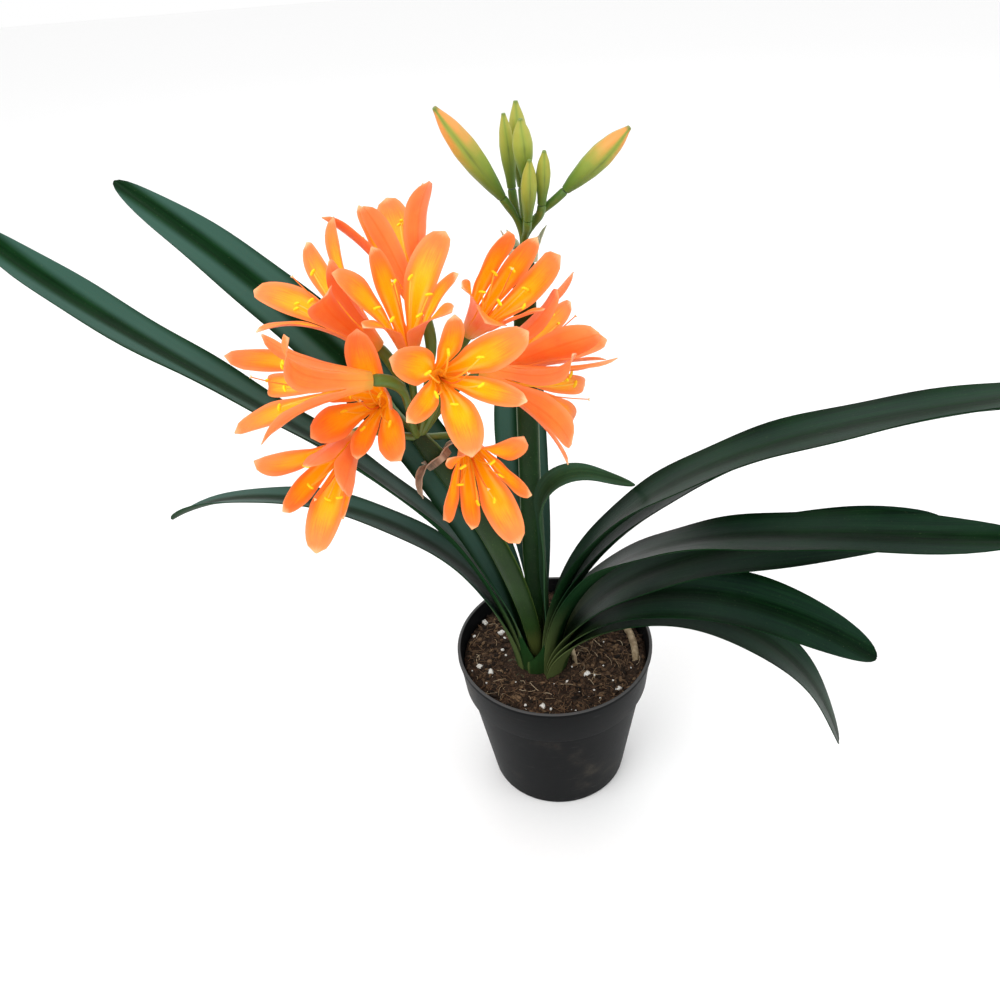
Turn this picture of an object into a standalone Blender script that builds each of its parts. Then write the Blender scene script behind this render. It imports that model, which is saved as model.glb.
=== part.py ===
"""Clivia in bloom in a tapered nursery pot.

Metres, +Z up. The origin is the centre of the pot's underside. The plant stands
a little left of the pot's middle, its leaves fan out to the left (-X) and to the
right (+X), and the flowers face the front (-Y).
"""

import math
import random
from collections import namedtuple

import bmesh
import bpy
import numpy as np
from mathutils import Matrix, Vector, noise

# Pot
POT_HEIGHT = 0.112
RIM_RADIUS = 0.065
COLLAR_HEIGHT = 0.0284
COLLAR_FOOT_RADIUS = 0.0618
COLLAR_STEP = 0.0025
BASE_RADIUS = 0.0464
BASE_CHAMFER = 0.0012
WALL = 0.0014
FLOOR = 0.0022
LIP_HEIGHT = 0.0026
LIP_OVERHANG = 0.0006
POT_STEPS = 40
DRAIN_COUNT = 6
DRAIN_RADIUS = 0.0038
DRAIN_RING_RADIUS = 0.031

# Soil
SOIL_TOP = 0.101
SOIL_STEPS = 28
SOIL_RINGS = (0.053, 0.041, 0.029)
SOIL_SWELL = 0.0016
SOIL_GRAIN = 90.0
SOIL_CLEARANCE = 0.0007
PERLITE_RADIUS = 0.0021
PERLITE_PLACES = ((-0.046, 0.035), (-0.035, 0.023), (-0.051, -0.008), (-0.044, -0.013),
                  (0.0195, -0.022), (-0.012, -0.047), (0.038, -0.037), (0.024, 0.036))

# Clearance between pieces that lie on each other
GAP = 0.0003

# Crown: the stump in the soil that carries leaves and stalks
CROWN_X = -0.012
CROWN_Y = -0.003
CROWN_RADIUS = 0.0213
CROWN_HEIGHT = 0.030
CROWN_TOP = 0.0996
PEG_DEPTH = 0.009

# Leaves. A leaf leaves the crown as half a tube round the stalks and opens into a gutter.
LEAF_FOOT = CROWN_TOP + GAP
LEAF_THICKNESS = 0.0012
SHEATH_RADIUS = 0.0106
SHEATH_PITCH = 0.0016
FAN_RIGHT = -15.0
FAN_LEFT = 163.0
FAN_BACK = 77.0
LEAF_ROWS = 15
LEAF_SUBSTEPS = 12
LEAF_CROWDING = 1.25
LEAF_COLUMNS = 4

# Blooms
TUBE_LENGTH = 0.014
TUBE_FOOT_RADIUS = 0.0042
TUBE_MOUTH_RADIUS = 0.0075
THROAT_ANGLE = 14.0
TEPAL_THICKNESS = 0.0009
INNER_LENGTH = 0.058
INNER_WIDTH = 0.0190
INNER_COLUMNS = 4
OUTER_LENGTH = 0.054
OUTER_WIDTH = 0.0125
OUTER_COLUMNS = 2
WIDEST_AT = 0.62
TEPAL_ROWS = 5
TEPAL_SUBSTEPS = 4
TEPAL_ARCH = 0.10
TEPAL_MARGIN = 0.0008

# Stamens and style
FILAMENT_COUNT = 6
FILAMENT_LENGTH = 0.047
FILAMENT_RADIUS = 0.0006
FILAMENT_LEAN = 0.0135
STYLE_LENGTH = 0.058
STYLE_LEAN = 0.004
STAMEN_DROOP = 0.0042
ANTHER_HALF_LENGTH = 0.0023
ANTHER_RADIUS = 0.0009
STAMEN_DISC_RADIUS = 0.0025
STAMEN_DISC_HEIGHT = 0.0016
STAMEN_CLEARANCE = 0.0024
ANTHER_CLEARANCE = 0.0020

# Stalks, buds and the papery bracts under each umbel
STALK_SIDES = 10
STALK_ROWS = 9
PEG_SHARE = 0.8
KNOB_SHARE = 0.75
PEDICEL_RADIUS = 0.0021
OVARY_RADIUS = 0.0034
BUD_FOOT_RADIUS = 0.0024
BUD_TIP_RADIUS = 0.0009
BUD_SHAPE = ((0.0, 0.4), (0.13, 0.62), (0.36, 0.92), (0.58, 1.0), (0.8, 0.76), (0.93, 0.4), (1.0, 0.12))
BRACT_RING = 0.004
BRACT_ROWS = 4
BRACT_COLUMNS = 2
BRACT_ARCH = 0.12
BRACT_THICKNESS = 0.0007

SHARP_ANGLE = 50.0

# Angles are degrees. heading: compass angle from +X towards +Y. rise: slope above level.
Leaf = namedtuple("Leaf", "name fan layer heading drift tip_rise bend length width twist "
                          "tip_twist taper gutter rise opening wrap")
Bloom = namedtuple("Bloom", "name foot heading rise turn spreads sways")
Bud = namedtuple("Bud", "name foot tip radius")
Stalk = namedtuple("Stalk", "foot start middle top half_width half_depth")
Root = namedtuple("Root", "name knots radius")
Bracts = namedtuple("Bracts", "name centre axis half_width half_depth turn lengths angles")

LEAVES = (
    Leaf("leaf_right_1", FAN_RIGHT, 1, -33, 16, 15, 2.0, 0.464, 0.0447, 6, -28, 0.47, 20, 92, 0.112, 62),
    Leaf("leaf_right_2", FAN_RIGHT, 2, -11, 5, -6, 1.9, 0.513, 0.0393, -14, -10, 0.50, 17, 90, 0.100, 62),
    Leaf("leaf_right_3", FAN_RIGHT, 3, -45, 11, 19, 2.3, 0.344, 0.0420, -5, 1, 0.69, 21, 90, 0.066, 62),
    Leaf("leaf_right_4", FAN_RIGHT, 4, -23, 10, 15, 2.3, 0.276, 0.0407, 1, 22, 0.63, 15, 83, 0.045, 62),
    Leaf("leaf_right_5", FAN_RIGHT, 5, -23, 5, -30, 1.45, 0.235, 0.0426, 2, 17, 0.55, 16, 82, 0.038, 62),
    Leaf("leaf_right_6", FAN_RIGHT, 6, -18, 3, -72, 1.5, 0.259, 0.0384, -2, 2, 0.46, 17, 81, 0.033, 62),
    Leaf("leaf_left_1", FAN_LEFT, 0, 153, -7, 24, 1.6, 0.419, 0.0400, -10, -10, 0.56, 12, 91, 0.070, 62),
    Leaf("leaf_left_2", FAN_LEFT, 1, 187, -40, 31, 2.3, 0.434, 0.0420, 19, -13, 0.49, 25, 83, 0.060, 62),
    Leaf("leaf_left_3", FAN_LEFT, 2, 180, -15, -38, 0.8, 0.288, 0.0375, 9, 24, 0.51, 20, 82, 0.045, 62),
    Leaf("leaf_centre", FAN_BACK, -1, 99, -31, 9, 1.2, 0.255, 0.0387, -10, -1, 0.51, 25, 83, 0.102, 22),
    Leaf("leaf_young", FAN_RIGHT, -0.5, 5, 0, -25, (0.60, 0.90), 0.200, 0.0220, 0, 0, 0.60, 25, 91, 0.080, 36),
)

BLOOMS = (
    Bloom("a", (-0.089, 0.015, 0.333), -170, 54, 234, (58, 63, 79, 48, 53, 65), (-3, -1, 24, -11, 1, -6)),
    Bloom("b", (-0.062, 0.022, 0.347), 125, 61, 347, (44, 50, 62, 28, 37, 8), (0, 0, 0, -3, 8, -5)),
    Bloom("c", (-0.072, 0.014, 0.328), -84, 65, 176, (47, 54, 51, 38, 82, 19), (-6, -5, 13, -2, -5, 6)),
    Bloom("d", (-0.038, 0.022, 0.334), -48, 48, 93, (8, 53, 60, 22, 18, 25), (-11, 16, -10, -11, 19, -4)),
    Bloom("e", (-0.033, 0.014, 0.314), 2, 23, 55, (26, 58, 25, 25, 25, 59), (0, 2, 0, 0, 0, -2)),
    Bloom("f", (-0.056, -0.008, 0.325), -75, 26, 27, (70, 43, 56, 53, 60, 56), (-4, -1, 6, -2, -2, 3)),
    Bloom("g", (-0.033, -0.003, 0.323), -20, -15, 58, (35, 98, 62, 50, 90, 80), (3, -3, 0, 0, 12, -16)),
    Bloom("h", (-0.092, 0.024, 0.293), -97, 28, 83, (72, 11, 30, 30, 52, 8), (6, 7, 8, 6, -14, -10)),
    Bloom("i", (-0.0895, -0.0285, 0.337), -163, 12, 149, (8, 104, 30, 54, 104, 63), (8, 0, -2, 2, 24, -24)),
    Bloom("j", (-0.108, -0.003, 0.287), -104, 5, 266, (56, 9, 14, 12, 50, 9), (-3, 2, 0, 2, 0, 0)),
    Bloom("k", (-0.045, 0.010, 0.270), -81, 3, 59, (66, 50, 24, 8, 56, 22), (-4, 5, 10, -4, -4, -1)),
)

FLOWER_STALK = Stalk((-0.0013, -0.0047), (-0.0132, -0.0100, 0.125), (-0.022, -0.025, 0.215),
                     (-0.072, 0.002, 0.281), 0.0062, 0.0042)
BUD_STALK = Stalk((0.0005, 0.0028), (-0.0115, 0.0010, 0.120), (-0.0103, 0.0160, 0.240),
                  (-0.0045, 0.0440, 0.372), 0.0066, 0.0038)

BUDS = (
    Bud("a", (-0.015, 0.038, 0.403), (-0.045, 0.022, 0.455), 0.0065),
    Bud("b", (-0.003, 0.057, 0.401), (-0.004, 0.060, 0.445), 0.0055),
    Bud("c", (-0.002, 0.040, 0.412), (-0.003, 0.038, 0.442), 0.0055),
    Bud("d", (-0.009, 0.048, 0.404), (-0.011, 0.050, 0.442), 0.0042),
    Bud("e", (-0.002, 0.034, 0.391), (0.000, 0.026, 0.425), 0.0044),
    Bud("f", (0.006, 0.037, 0.398), (0.008, 0.032, 0.427), 0.0040),
    Bud("g", (0.019, 0.038, 0.404), (0.051, 0.030, 0.436), 0.0065),
)

FLOWER_BRACTS = Bracts("spathe_flowers", (-0.0610, -0.0035, 0.2665), (-50, 23, 65), 0.0082, 0.0064,
                        240, (0.022, 0.007, 0.022), (150, 120, 150))
BUD_BRACTS = Bracts("spathe_buds", (-0.0050, 0.0425, 0.3640), (5, 25, 100), 0.0076, 0.0050,
                    30, (0.016, 0.014, 0.015, 0.013), (30, 36, 28, 36))

ROOTS = (
    Root("root_large", ((0.0460, 0.0280, -0.0030), (0.0496, 0.0212, 0.0006), (0.0530, 0.0110, 0.0008),
                        (0.0540, 0.0000, 0.0008), (0.0535, -0.0090, 0.0003), (0.0520, -0.0160, -0.0030)),
         0.0025),
    Root("root_small", ((0.0118, 0.0070, -0.0025), (0.0121, 0.0020, 0.0004), (0.0124, -0.0040, 0.0006),
                        (0.0128, -0.0090, 0.0003), (0.0130, -0.0130, -0.0025)),
         0.0017),
)


for leftover in list(bpy.data.objects):
    bpy.data.objects.remove(leftover, do_unlink=True)


def new_collection(name):
    collection = bpy.data.collections.new(name)
    bpy.context.scene.collection.children.link(collection)
    return collection


PARTS = new_collection("clivia")
CUTTERS = new_collection("cutters")


# Materials
def principled(name, colour, roughness, metallic=0.0):
    material = bpy.data.materials.new(name)
    material.use_nodes = True
    shader = material.node_tree.nodes["Principled BSDF"]
    shader.inputs["Base Color"].default_value = (*colour, 1.0)
    shader.inputs["Roughness"].default_value = roughness
    shader.inputs["Metallic"].default_value = metallic
    return material


POT_PLASTIC = principled("pot_plastic", (0.021, 0.023, 0.024), 0.42)
SOIL_MIX = principled("soil_mix", (0.035, 0.024, 0.016), 0.95)
ROOT_SKIN = principled("root_skin", (0.42, 0.33, 0.17), 0.7)
CROWN_SKIN = principled("crown_skin", (0.30, 0.26, 0.13), 0.75)
LEAF_GREEN = principled("leaf_green", (0.022, 0.065, 0.016), 0.38)
PETAL_ORANGE = principled("petal_orange", (0.92, 0.20, 0.035), 0.5)
STAMEN_YELLOW = principled("stamen_yellow", (0.90, 0.48, 0.02), 0.55)
STALK_GREEN = principled("stalk_green", (0.05, 0.11, 0.022), 0.42)
BUD_GREEN = principled("bud_green", (0.35, 0.38, 0.08), 0.45)
PAPER_BROWN = principled("paper_brown", (0.26, 0.19, 0.12), 0.75)
PAPER_GREEN = principled("paper_green", (0.42, 0.50, 0.36), 0.6)


def smooth_step(low, high, value):
    t = np.clip((value - low) / (high - low), 0.0, 1.0)
    return t * t * (3.0 - 2.0 * t)


# Sheets: open surfaces of triangles, thickened by Solidify
class Sheet:
    def __init__(self):
        self.mesh = bmesh.new()

    def row(self, points):
        return [self.mesh.verts.new(point) for point in points]

    def join(self, lower, upper):
        """Fill the strip between two rows, its diagonals mirrored about the middle."""
        cells = len(lower) - 1
        for i in range(cells):
            a, b, c, d = lower[i], lower[i + 1], upper[i + 1], upper[i]
            if i < cells / 2:
                self.mesh.faces.new((a, b, c))
                self.mesh.faces.new((a, c, d))
            else:
                self.mesh.faces.new((a, b, d))
                self.mesh.faces.new((b, c, d))

    def close(self, row, tip):
        point = self.mesh.verts.new(tip)
        for a, b in zip(row, row[1:]):
            self.mesh.faces.new((a, b, point))

    def solid(self, name, thickness, material):
        bmesh.ops.recalc_face_normals(self.mesh, faces=self.mesh.faces)
        data = bpy.data.meshes.new(name)
        self.mesh.to_mesh(data)
        self.mesh.free()
        piece = add_object(name, data, material)
        thicken = piece.modifiers.new("thickness", "SOLIDIFY")
        thicken.thickness = thickness
        thicken.offset = 0.0
        return piece


def add_object(name, data, material=None, collection=None):
    piece = bpy.data.objects.new(name, data)
    (collection or PARTS).objects.link(piece)
    if material:
        data.materials.clear()
        data.materials.append(material)
    return piece


def mesh_object(name, mesh, material=None, collection=None):
    data = bpy.data.meshes.new(name)
    mesh.to_mesh(data)
    mesh.free()
    return add_object(name, data, material, collection)


def evaluated_mesh(piece):
    """The object's mesh with its modifiers, or its curve as a closed mesh, in world space."""
    graph = bpy.context.evaluated_depsgraph_get()
    data = bpy.data.meshes.new_from_object(piece.evaluated_get(graph))
    data.transform(piece.matrix_world)
    mesh = bmesh.new()
    mesh.from_mesh(data)
    bmesh.ops.remove_doubles(mesh, verts=mesh.verts, dist=0.000005)
    bmesh.ops.recalc_face_normals(mesh, faces=mesh.faces)
    mesh.to_mesh(data)
    mesh.free()
    return data


def remove(piece):
    bpy.data.objects.remove(piece, do_unlink=True)


def baked(piece, name, material=None, collection=None):
    data = evaluated_mesh(piece)
    remove(piece)
    data.name = name
    return add_object(name, data, material, collection)


def fuse(name, pieces, material):
    """One body from overlapping pieces."""
    first, *others = [baked(piece, name + "_piece") for piece in pieces]
    group = bpy.data.collections.new(name + "_pieces")
    for piece in others:
        group.objects.link(piece)
    union = first.modifiers.new("union", "BOOLEAN")
    union.operation = "UNION"
    union.operand_type = "COLLECTION"
    union.collection = group
    union.solver = "MANIFOLD"
    whole = evaluated_mesh(first)
    for piece in (first, *others):
        remove(piece)
    bpy.data.collections.remove(group)
    return add_object(name, whole, material)


def cut(piece, cutter):
    """Take the cutter out of the piece, and keep it as a hidden guide."""
    hole = piece.modifiers.new("cut", "BOOLEAN")
    hole.operation = "DIFFERENCE"
    hole.object = cutter
    cutter.hide_render = True
    cutter.display_type = "WIRE"


def tube(name, points, radii, sides=6, collection=None):
    """A round tube through the points, with its caps filled."""
    curve = bpy.data.curves.new(name, "CURVE")
    curve.dimensions = "3D"
    curve.bevel_depth = 1.0
    curve.bevel_resolution = (sides - 4) // 2
    curve.use_fill_caps = True
    spline = curve.splines.new("POLY")
    spline.points.add(len(points) - 1)
    for knot, point, radius in zip(spline.points, points, radii):
        knot.co = (*point, 1.0)
        knot.radius = radius
    return add_object(name, curve, None, collection)


def cylinder(name, centre, radius, depth, sides, collection=None):
    mesh = bmesh.new()
    bmesh.ops.create_cone(mesh, cap_ends=True, segments=sides, radius1=radius,
                          radius2=radius, depth=depth, matrix=Matrix.Translation(centre))
    return mesh_object(name, mesh, None, collection)


def turned(name, profile, steps, material=None):
    """A solid of revolution about Z from a profile that starts and ends on the axis."""
    mesh = bmesh.new()
    points = [mesh.verts.new((radius, 0.0, height)) for radius, height in profile]
    for a, b in zip(points, points[1:]):
        mesh.edges.new((a, b))
    piece = mesh_object(name, mesh, material)
    screw = piece.modifiers.new("turn", "SCREW")
    screw.steps = steps
    screw.render_steps = steps
    screw.use_merge_vertices = True
    screw.merge_threshold = 0.00001
    return piece


# Pot and soil
def wall_radius(height):
    """The pot's outer radius at a height, below the collar and on it."""
    collar_foot = POT_HEIGHT - COLLAR_HEIGHT
    if height >= collar_foot:
        share = (height - collar_foot) / COLLAR_HEIGHT
        return COLLAR_FOOT_RADIUS + share * (RIM_RADIUS - LIP_OVERHANG - COLLAR_FOOT_RADIUS)
    share = height / collar_foot
    neck = COLLAR_FOOT_RADIUS - COLLAR_STEP
    return BASE_RADIUS + share * (neck - BASE_RADIUS)


def inner_line():
    """The pot's inner profile as radius and height, from its floor to its rim."""
    collar_foot = POT_HEIGHT - COLLAR_HEIGHT
    below = collar_foot - COLLAR_STEP / 2
    return [
        (wall_radius(FLOOR) - WALL, FLOOR),
        (wall_radius(below) - WALL, below + WALL / 2),
        (wall_radius(collar_foot) - WALL, collar_foot + WALL),
        (RIM_RADIUS - LIP_OVERHANG - WALL, POT_HEIGHT),
    ]


def build_pot():
    collar_foot = POT_HEIGHT - COLLAR_HEIGHT
    below = collar_foot - COLLAR_STEP / 2
    lip_foot = POT_HEIGHT - LIP_HEIGHT
    profile = [
        (0.0, FLOOR),
        *inner_line(),
        (RIM_RADIUS - LIP_OVERHANG / 2, POT_HEIGHT),
        (RIM_RADIUS, POT_HEIGHT - LIP_OVERHANG),
        (RIM_RADIUS, lip_foot),
        (wall_radius(lip_foot), lip_foot - LIP_OVERHANG),
        (wall_radius(collar_foot), collar_foot),
        (wall_radius(below), below),
        (wall_radius(BASE_CHAMFER), BASE_CHAMFER),
        (BASE_RADIUS - BASE_CHAMFER, 0.0),
        (0.0, 0.0),
    ]
    pot = turned("pot", profile, POT_STEPS, POT_PLASTIC)
    for i in range(DRAIN_COUNT):
        angle = 2 * math.pi * i / DRAIN_COUNT
        centre = (DRAIN_RING_RADIUS * math.cos(angle), DRAIN_RING_RADIUS * math.sin(angle), 0.0)
        cut(pot, cylinder("drain_cutter", centre, DRAIN_RADIUS, 4 * FLOOR, 8, CUTTERS))
    return pot


def soil_surface(x, y):
    """Height of the bumpy soil at a place."""
    return SOIL_TOP + SOIL_SWELL * noise.noise(Vector((x, y, 0.0)) * SOIL_GRAIN)


def build_soil(crown_hole, grooves):
    bottom, low, high, _ = inner_line()
    rim = wall_radius(SOIL_TOP) - WALL - SOIL_CLEARANCE
    profile = [(0.0, SOIL_TOP)]
    profile += [(radius, SOIL_TOP) for radius in reversed(SOIL_RINGS)]
    profile += [
        (rim, SOIL_TOP - SOIL_SWELL),
        (high[0] - SOIL_CLEARANCE, high[1]),
        (low[0] - SOIL_CLEARANCE, low[1]),
        (bottom[0] - SOIL_CLEARANCE, bottom[1] + GAP),
        (0.0, bottom[1] + GAP),
    ]
    soil = baked(turned("soil_turned", profile, SOIL_STEPS), "soil_plain")
    for vertex in soil.data.vertices:
        x, y, z = vertex.co
        if z > SOIL_TOP - SOIL_SWELL / 2:
            vertex.co.z = soil_surface(x, y)
    soil = fuse("soil", [soil, *perlite_lumps()], SOIL_MIX)
    for cutter in (crown_hole, *grooves):
        cut(soil, cutter)
    return soil


def perlite_lumps():
    """Small white lumps half sunk in the soil."""
    draw = random.Random(7)
    lumps = []
    for x, y in PERLITE_PLACES:
        place = (Matrix.Translation((x, y, soil_surface(x, y)))
                 @ Matrix.Rotation(draw.uniform(0.0, math.pi), 4, "Z")
                 @ Matrix.Diagonal((1.3, 1.0, 0.8, 1.0)))
        mesh = bmesh.new()
        bmesh.ops.create_icosphere(mesh, subdivisions=1, matrix=place,
                                   radius=PERLITE_RADIUS * draw.uniform(0.75, 1.1))
        lumps.append(mesh_object("perlite", mesh))
    return lumps


def build_root(root):
    """A pale root lying half sunk in the soil, and the cutter of its groove."""
    knots = [(x, y, soil_surface(x, y) + lift) for x, y, lift in root.knots]
    middle = len(knots) - 1
    girth = [root.radius * (0.8 + 0.2 * math.sin(math.pi * i / middle)) for i in range(len(knots))]
    solid = baked(tube(root.name, knots, girth, 8), root.name, ROOT_SKIN)
    wider = [radius + GAP for radius in girth]
    ends = [Vector(knot) for knot in knots]
    ends[0] += (ends[0] - ends[1]).normalized() * GAP
    ends[-1] += (ends[-1] - ends[-2]).normalized() * GAP
    groove = baked(tube("groove", ends, wider, 8), "groove_cutter", None, CUTTERS)
    return solid, groove


# Crown, leaves
def crown_place(x, y, z):
    return (CROWN_X + x, CROWN_Y + y, z)


def build_crown(pegs):
    middle = CROWN_TOP - CROWN_HEIGHT / 2
    crown = cylinder("crown", crown_place(0, 0, middle), CROWN_RADIUS, CROWN_HEIGHT, 32)
    crown.data.materials.append(CROWN_SKIN)
    for peg in pegs:
        cut(crown, peg)
    hole = cylinder("crown_cutter", crown_place(0, 0, middle - GAP + 0.01),
                    CROWN_RADIUS + GAP, CROWN_HEIGHT + 0.02, 32, CUTTERS)
    return crown, hole


def slope_share(bend, s):
    """1 at a leaf's foot and 0 at its tip. A pair bends the leaf between two places only."""
    if isinstance(bend, tuple):
        return 1.0 - smooth_step(*bend, s)
    return (1.0 - s) ** bend


def leaf_frames(leaf, count):
    """Rib points of a leaf with its across and inward directions, arc angle and width."""
    s = np.linspace(0.0, 1.0, count)
    rise = np.radians(leaf.tip_rise + (leaf.rise - leaf.tip_rise) * slope_share(leaf.bend, s))
    turn = smooth_step(0.0, 0.35, s)
    heading = np.radians(leaf.fan + (leaf.heading - leaf.fan) * turn + leaf.drift * s ** 2)
    level = np.stack([np.cos(heading), np.sin(heading), 0 * s], axis=1)
    along = level * np.cos(rise)[:, None] + np.array([0, 0, 1.0]) * np.sin(rise)[:, None]
    steps = (along[1:] + along[:-1]) / 2 * leaf.length / (count - 1)
    shell = SHEATH_RADIUS + SHEATH_PITCH * leaf.layer
    fan = math.radians(leaf.fan)
    foot = np.array(crown_place(shell * math.cos(fan), shell * math.sin(fan), LEAF_FOOT))
    rib = np.vstack([foot, foot + np.cumsum(steps, axis=0)])
    side = np.stack([-np.sin(heading), np.cos(heading), 0 * s], axis=1)
    inward = -np.cross(side, along)
    roll = np.radians(leaf.twist * np.sin(np.pi * s) + leaf.tip_twist * s ** 2)
    across = side * np.cos(roll)[:, None] + inward * np.sin(roll)[:, None]
    hollow = inward * np.cos(roll)[:, None] - side * np.sin(roll)[:, None]
    closed = np.exp(-((s * leaf.length / leaf.opening) ** 2))
    half_angle = np.radians(leaf.gutter + (leaf.wrap - leaf.gutter) * closed)
    foot_width = 2 * math.radians(leaf.wrap) * shell
    taper = np.clip((s - leaf.taper) / (1.0 - leaf.taper), 0.0, 1.0)
    narrowing = np.exp(-((s * leaf.length / leaf.opening / 0.9) ** 2))
    width = (leaf.width + (foot_width - leaf.width) * narrowing) * np.sqrt(1.0 - taper ** 2)
    return rib, across, hollow, half_angle, width


def leaf_point(frame, i, u):
    """A point of the leaf on row i, u from -1 to 1 across it."""
    rib, across, hollow, half_angle, width = (part[i] for part in frame)
    radius = width / (2 * half_angle)
    angle = half_angle * u
    return rib + across * radius * math.sin(angle) + hollow * radius * (1 - math.cos(angle))


def build_leaf(leaf):
    steps = LEAF_ROWS * LEAF_SUBSTEPS
    frame = leaf_frames(leaf, steps + 1)
    sheet = Sheet()
    rows = []
    for k in range(LEAF_ROWS):
        i = round(steps * (k / LEAF_ROWS) ** LEAF_CROWDING)
        points = [leaf_point(frame, i, u) for u in np.linspace(-1.0, 1.0, LEAF_COLUMNS + 1)]
        if k == 0:
            for point in points:
                point[2] = LEAF_FOOT
        rows.append(sheet.row(points))
    for lower, upper in zip(rows, rows[1:]):
        sheet.join(lower, upper)
    sheet.close(rows[-1], frame[0][-1])
    return sheet.solid(leaf.name, LEAF_THICKNESS, LEAF_GREEN)


# Blooms
def bloom_axes(bloom):
    """The bloom's foot, its axis and two directions across it."""
    heading, rise = math.radians(bloom.heading), math.radians(bloom.rise)
    axis = Vector((math.cos(rise) * math.cos(heading), math.cos(rise) * math.sin(heading),
                   math.sin(rise)))
    first = Vector((0, 0, 1)).cross(axis).normalized()
    second = axis.cross(first)
    return Vector(bloom.foot), axis, first, second


def tepal_width(t, inner):
    """Width of a tepal, t from 0 at the throat to 1 at the tip."""
    widest = INNER_WIDTH if inner else OUTER_WIDTH
    foot = 0.42 if inner else 0.55
    swell = foot + (1 - foot) * math.sin(math.pi / 2 * min(t / WIDEST_AT, 1.0)) ** 1.6
    taper = max(0.0, t - WIDEST_AT) / (1 - WIDEST_AT)
    return widest * swell * math.sqrt(max(0.0, 1 - taper ** 2.2))


def tepal_rib(spread, length, count):
    """Radius, height along the axis and slope of a tepal's rib, from throat to tip."""
    t = np.linspace(0.0, 1.0, count)
    slope = np.radians(THROAT_ANGLE + (spread - THROAT_ANGLE) * t ** 1.5)
    step = length / (count - 1)
    out, up = np.sin(slope), np.cos(slope)
    radius = TUBE_MOUTH_RADIUS + np.concatenate([[0], np.cumsum((out[1:] + out[:-1]) / 2 * step)])
    height = TUBE_LENGTH + np.concatenate([[0], np.cumsum((up[1:] + up[:-1]) / 2 * step)])
    return radius, height, slope


def build_bloom(bloom):
    foot, axis, first, second = bloom_axes(bloom)

    def around(angle):
        return first * math.cos(angle) + second * math.sin(angle)

    sheet = Sheet()
    tube_foot, tube_mouth = [], []
    segments = []
    for j in range(6):
        count = INNER_COLUMNS if j % 2 == 0 else OUTER_COLUMNS
        start = math.radians(bloom.turn + 60 * j - 30)
        for k in range(count):
            angle = start + math.radians(60) * k / count
            tube_foot.append(foot + around(angle) * TUBE_FOOT_RADIUS)
            tube_mouth.append(foot + axis * TUBE_LENGTH + around(angle) * TUBE_MOUTH_RADIUS)
        segments.append(count)
    foot_ring = sheet.row(tube_foot)
    mouth_ring = sheet.row(tube_mouth)
    foot_ring.append(foot_ring[0])
    mouth_ring.append(mouth_ring[0])
    sheet.join(foot_ring, mouth_ring)
    sheet.close(foot_ring, foot)
    start = 0
    for j, count in enumerate(segments):
        inner = j % 2 == 0
        radius, height, slope = tepal_rib(bloom.spreads[j], INNER_LENGTH if inner else OUTER_LENGTH,
                                          TEPAL_ROWS * TEPAL_SUBSTEPS + 1)
        lower = mouth_ring[start:start + count + 1]
        start += count
        for row in range(1, TEPAL_ROWS + 1):
            i = row * TEPAL_SUBSTEPS
            t = row / TEPAL_ROWS
            angle = math.radians(bloom.turn + 60 * j + bloom.sways[j] * t)
            out = around(angle)
            side = around(angle + math.pi / 2)
            back = out * math.cos(slope[i]) - axis * math.sin(slope[i])
            rib = foot + out * radius[i] + axis * height[i]
            if row == TEPAL_ROWS:
                sheet.close(lower, rib)
                continue
            width = tepal_width(t, inner)
            points = []
            for u in np.linspace(-1.0, 1.0, count + 1):
                neighbour = bloom.sways[(j + (1 if u > 0 else -1)) % 6]
                bound = math.radians(30 + abs(u) / (u or 1) * (neighbour - bloom.sways[j]) * t / 2)
                room = max(radius[i], TUBE_MOUTH_RADIUS) * math.tan(min(bound, 1.3)) - TEPAL_MARGIN
                reach = min(width / 2, room) * u
                points.append(rib + side * reach - back * (TEPAL_ARCH * width * u * u))
            upper = sheet.row(points)
            sheet.join(lower, upper)
            lower = upper
    return sheet.solid("bloom_" + bloom.name, TEPAL_THICKNESS, PETAL_ORANGE)


def inside_bloom(bloom, offset, height, clear, first, second):
    """Draw an offset from the bloom's axis back until it is clear of tube and tepals."""
    share = 1.0
    for j in range(6):
        inner = j % 2 == 0
        radius, rib_height, _ = tepal_rib(bloom.spreads[j], INNER_LENGTH if inner else OUTER_LENGTH, 25)
        top = int(np.argmax(rib_height))
        if height > rib_height[top]:
            continue
        if height < TUBE_LENGTH:
            room = TUBE_FOOT_RADIUS + (TUBE_MOUTH_RADIUS - TUBE_FOOT_RADIUS) * height / TUBE_LENGTH
        else:
            room = float(np.interp(height, rib_height[:top + 1], radius[:top + 1]))
        sway = bloom.sways[j] * max(0.0, height - TUBE_LENGTH) / INNER_LENGTH
        angle = math.radians(bloom.turn + 60 * j + sway)
        outward = offset.dot(first * math.cos(angle) + second * math.sin(angle))
        if outward > room - clear:
            share = min(share, (room - clear) / outward)
    return offset * share


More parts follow.
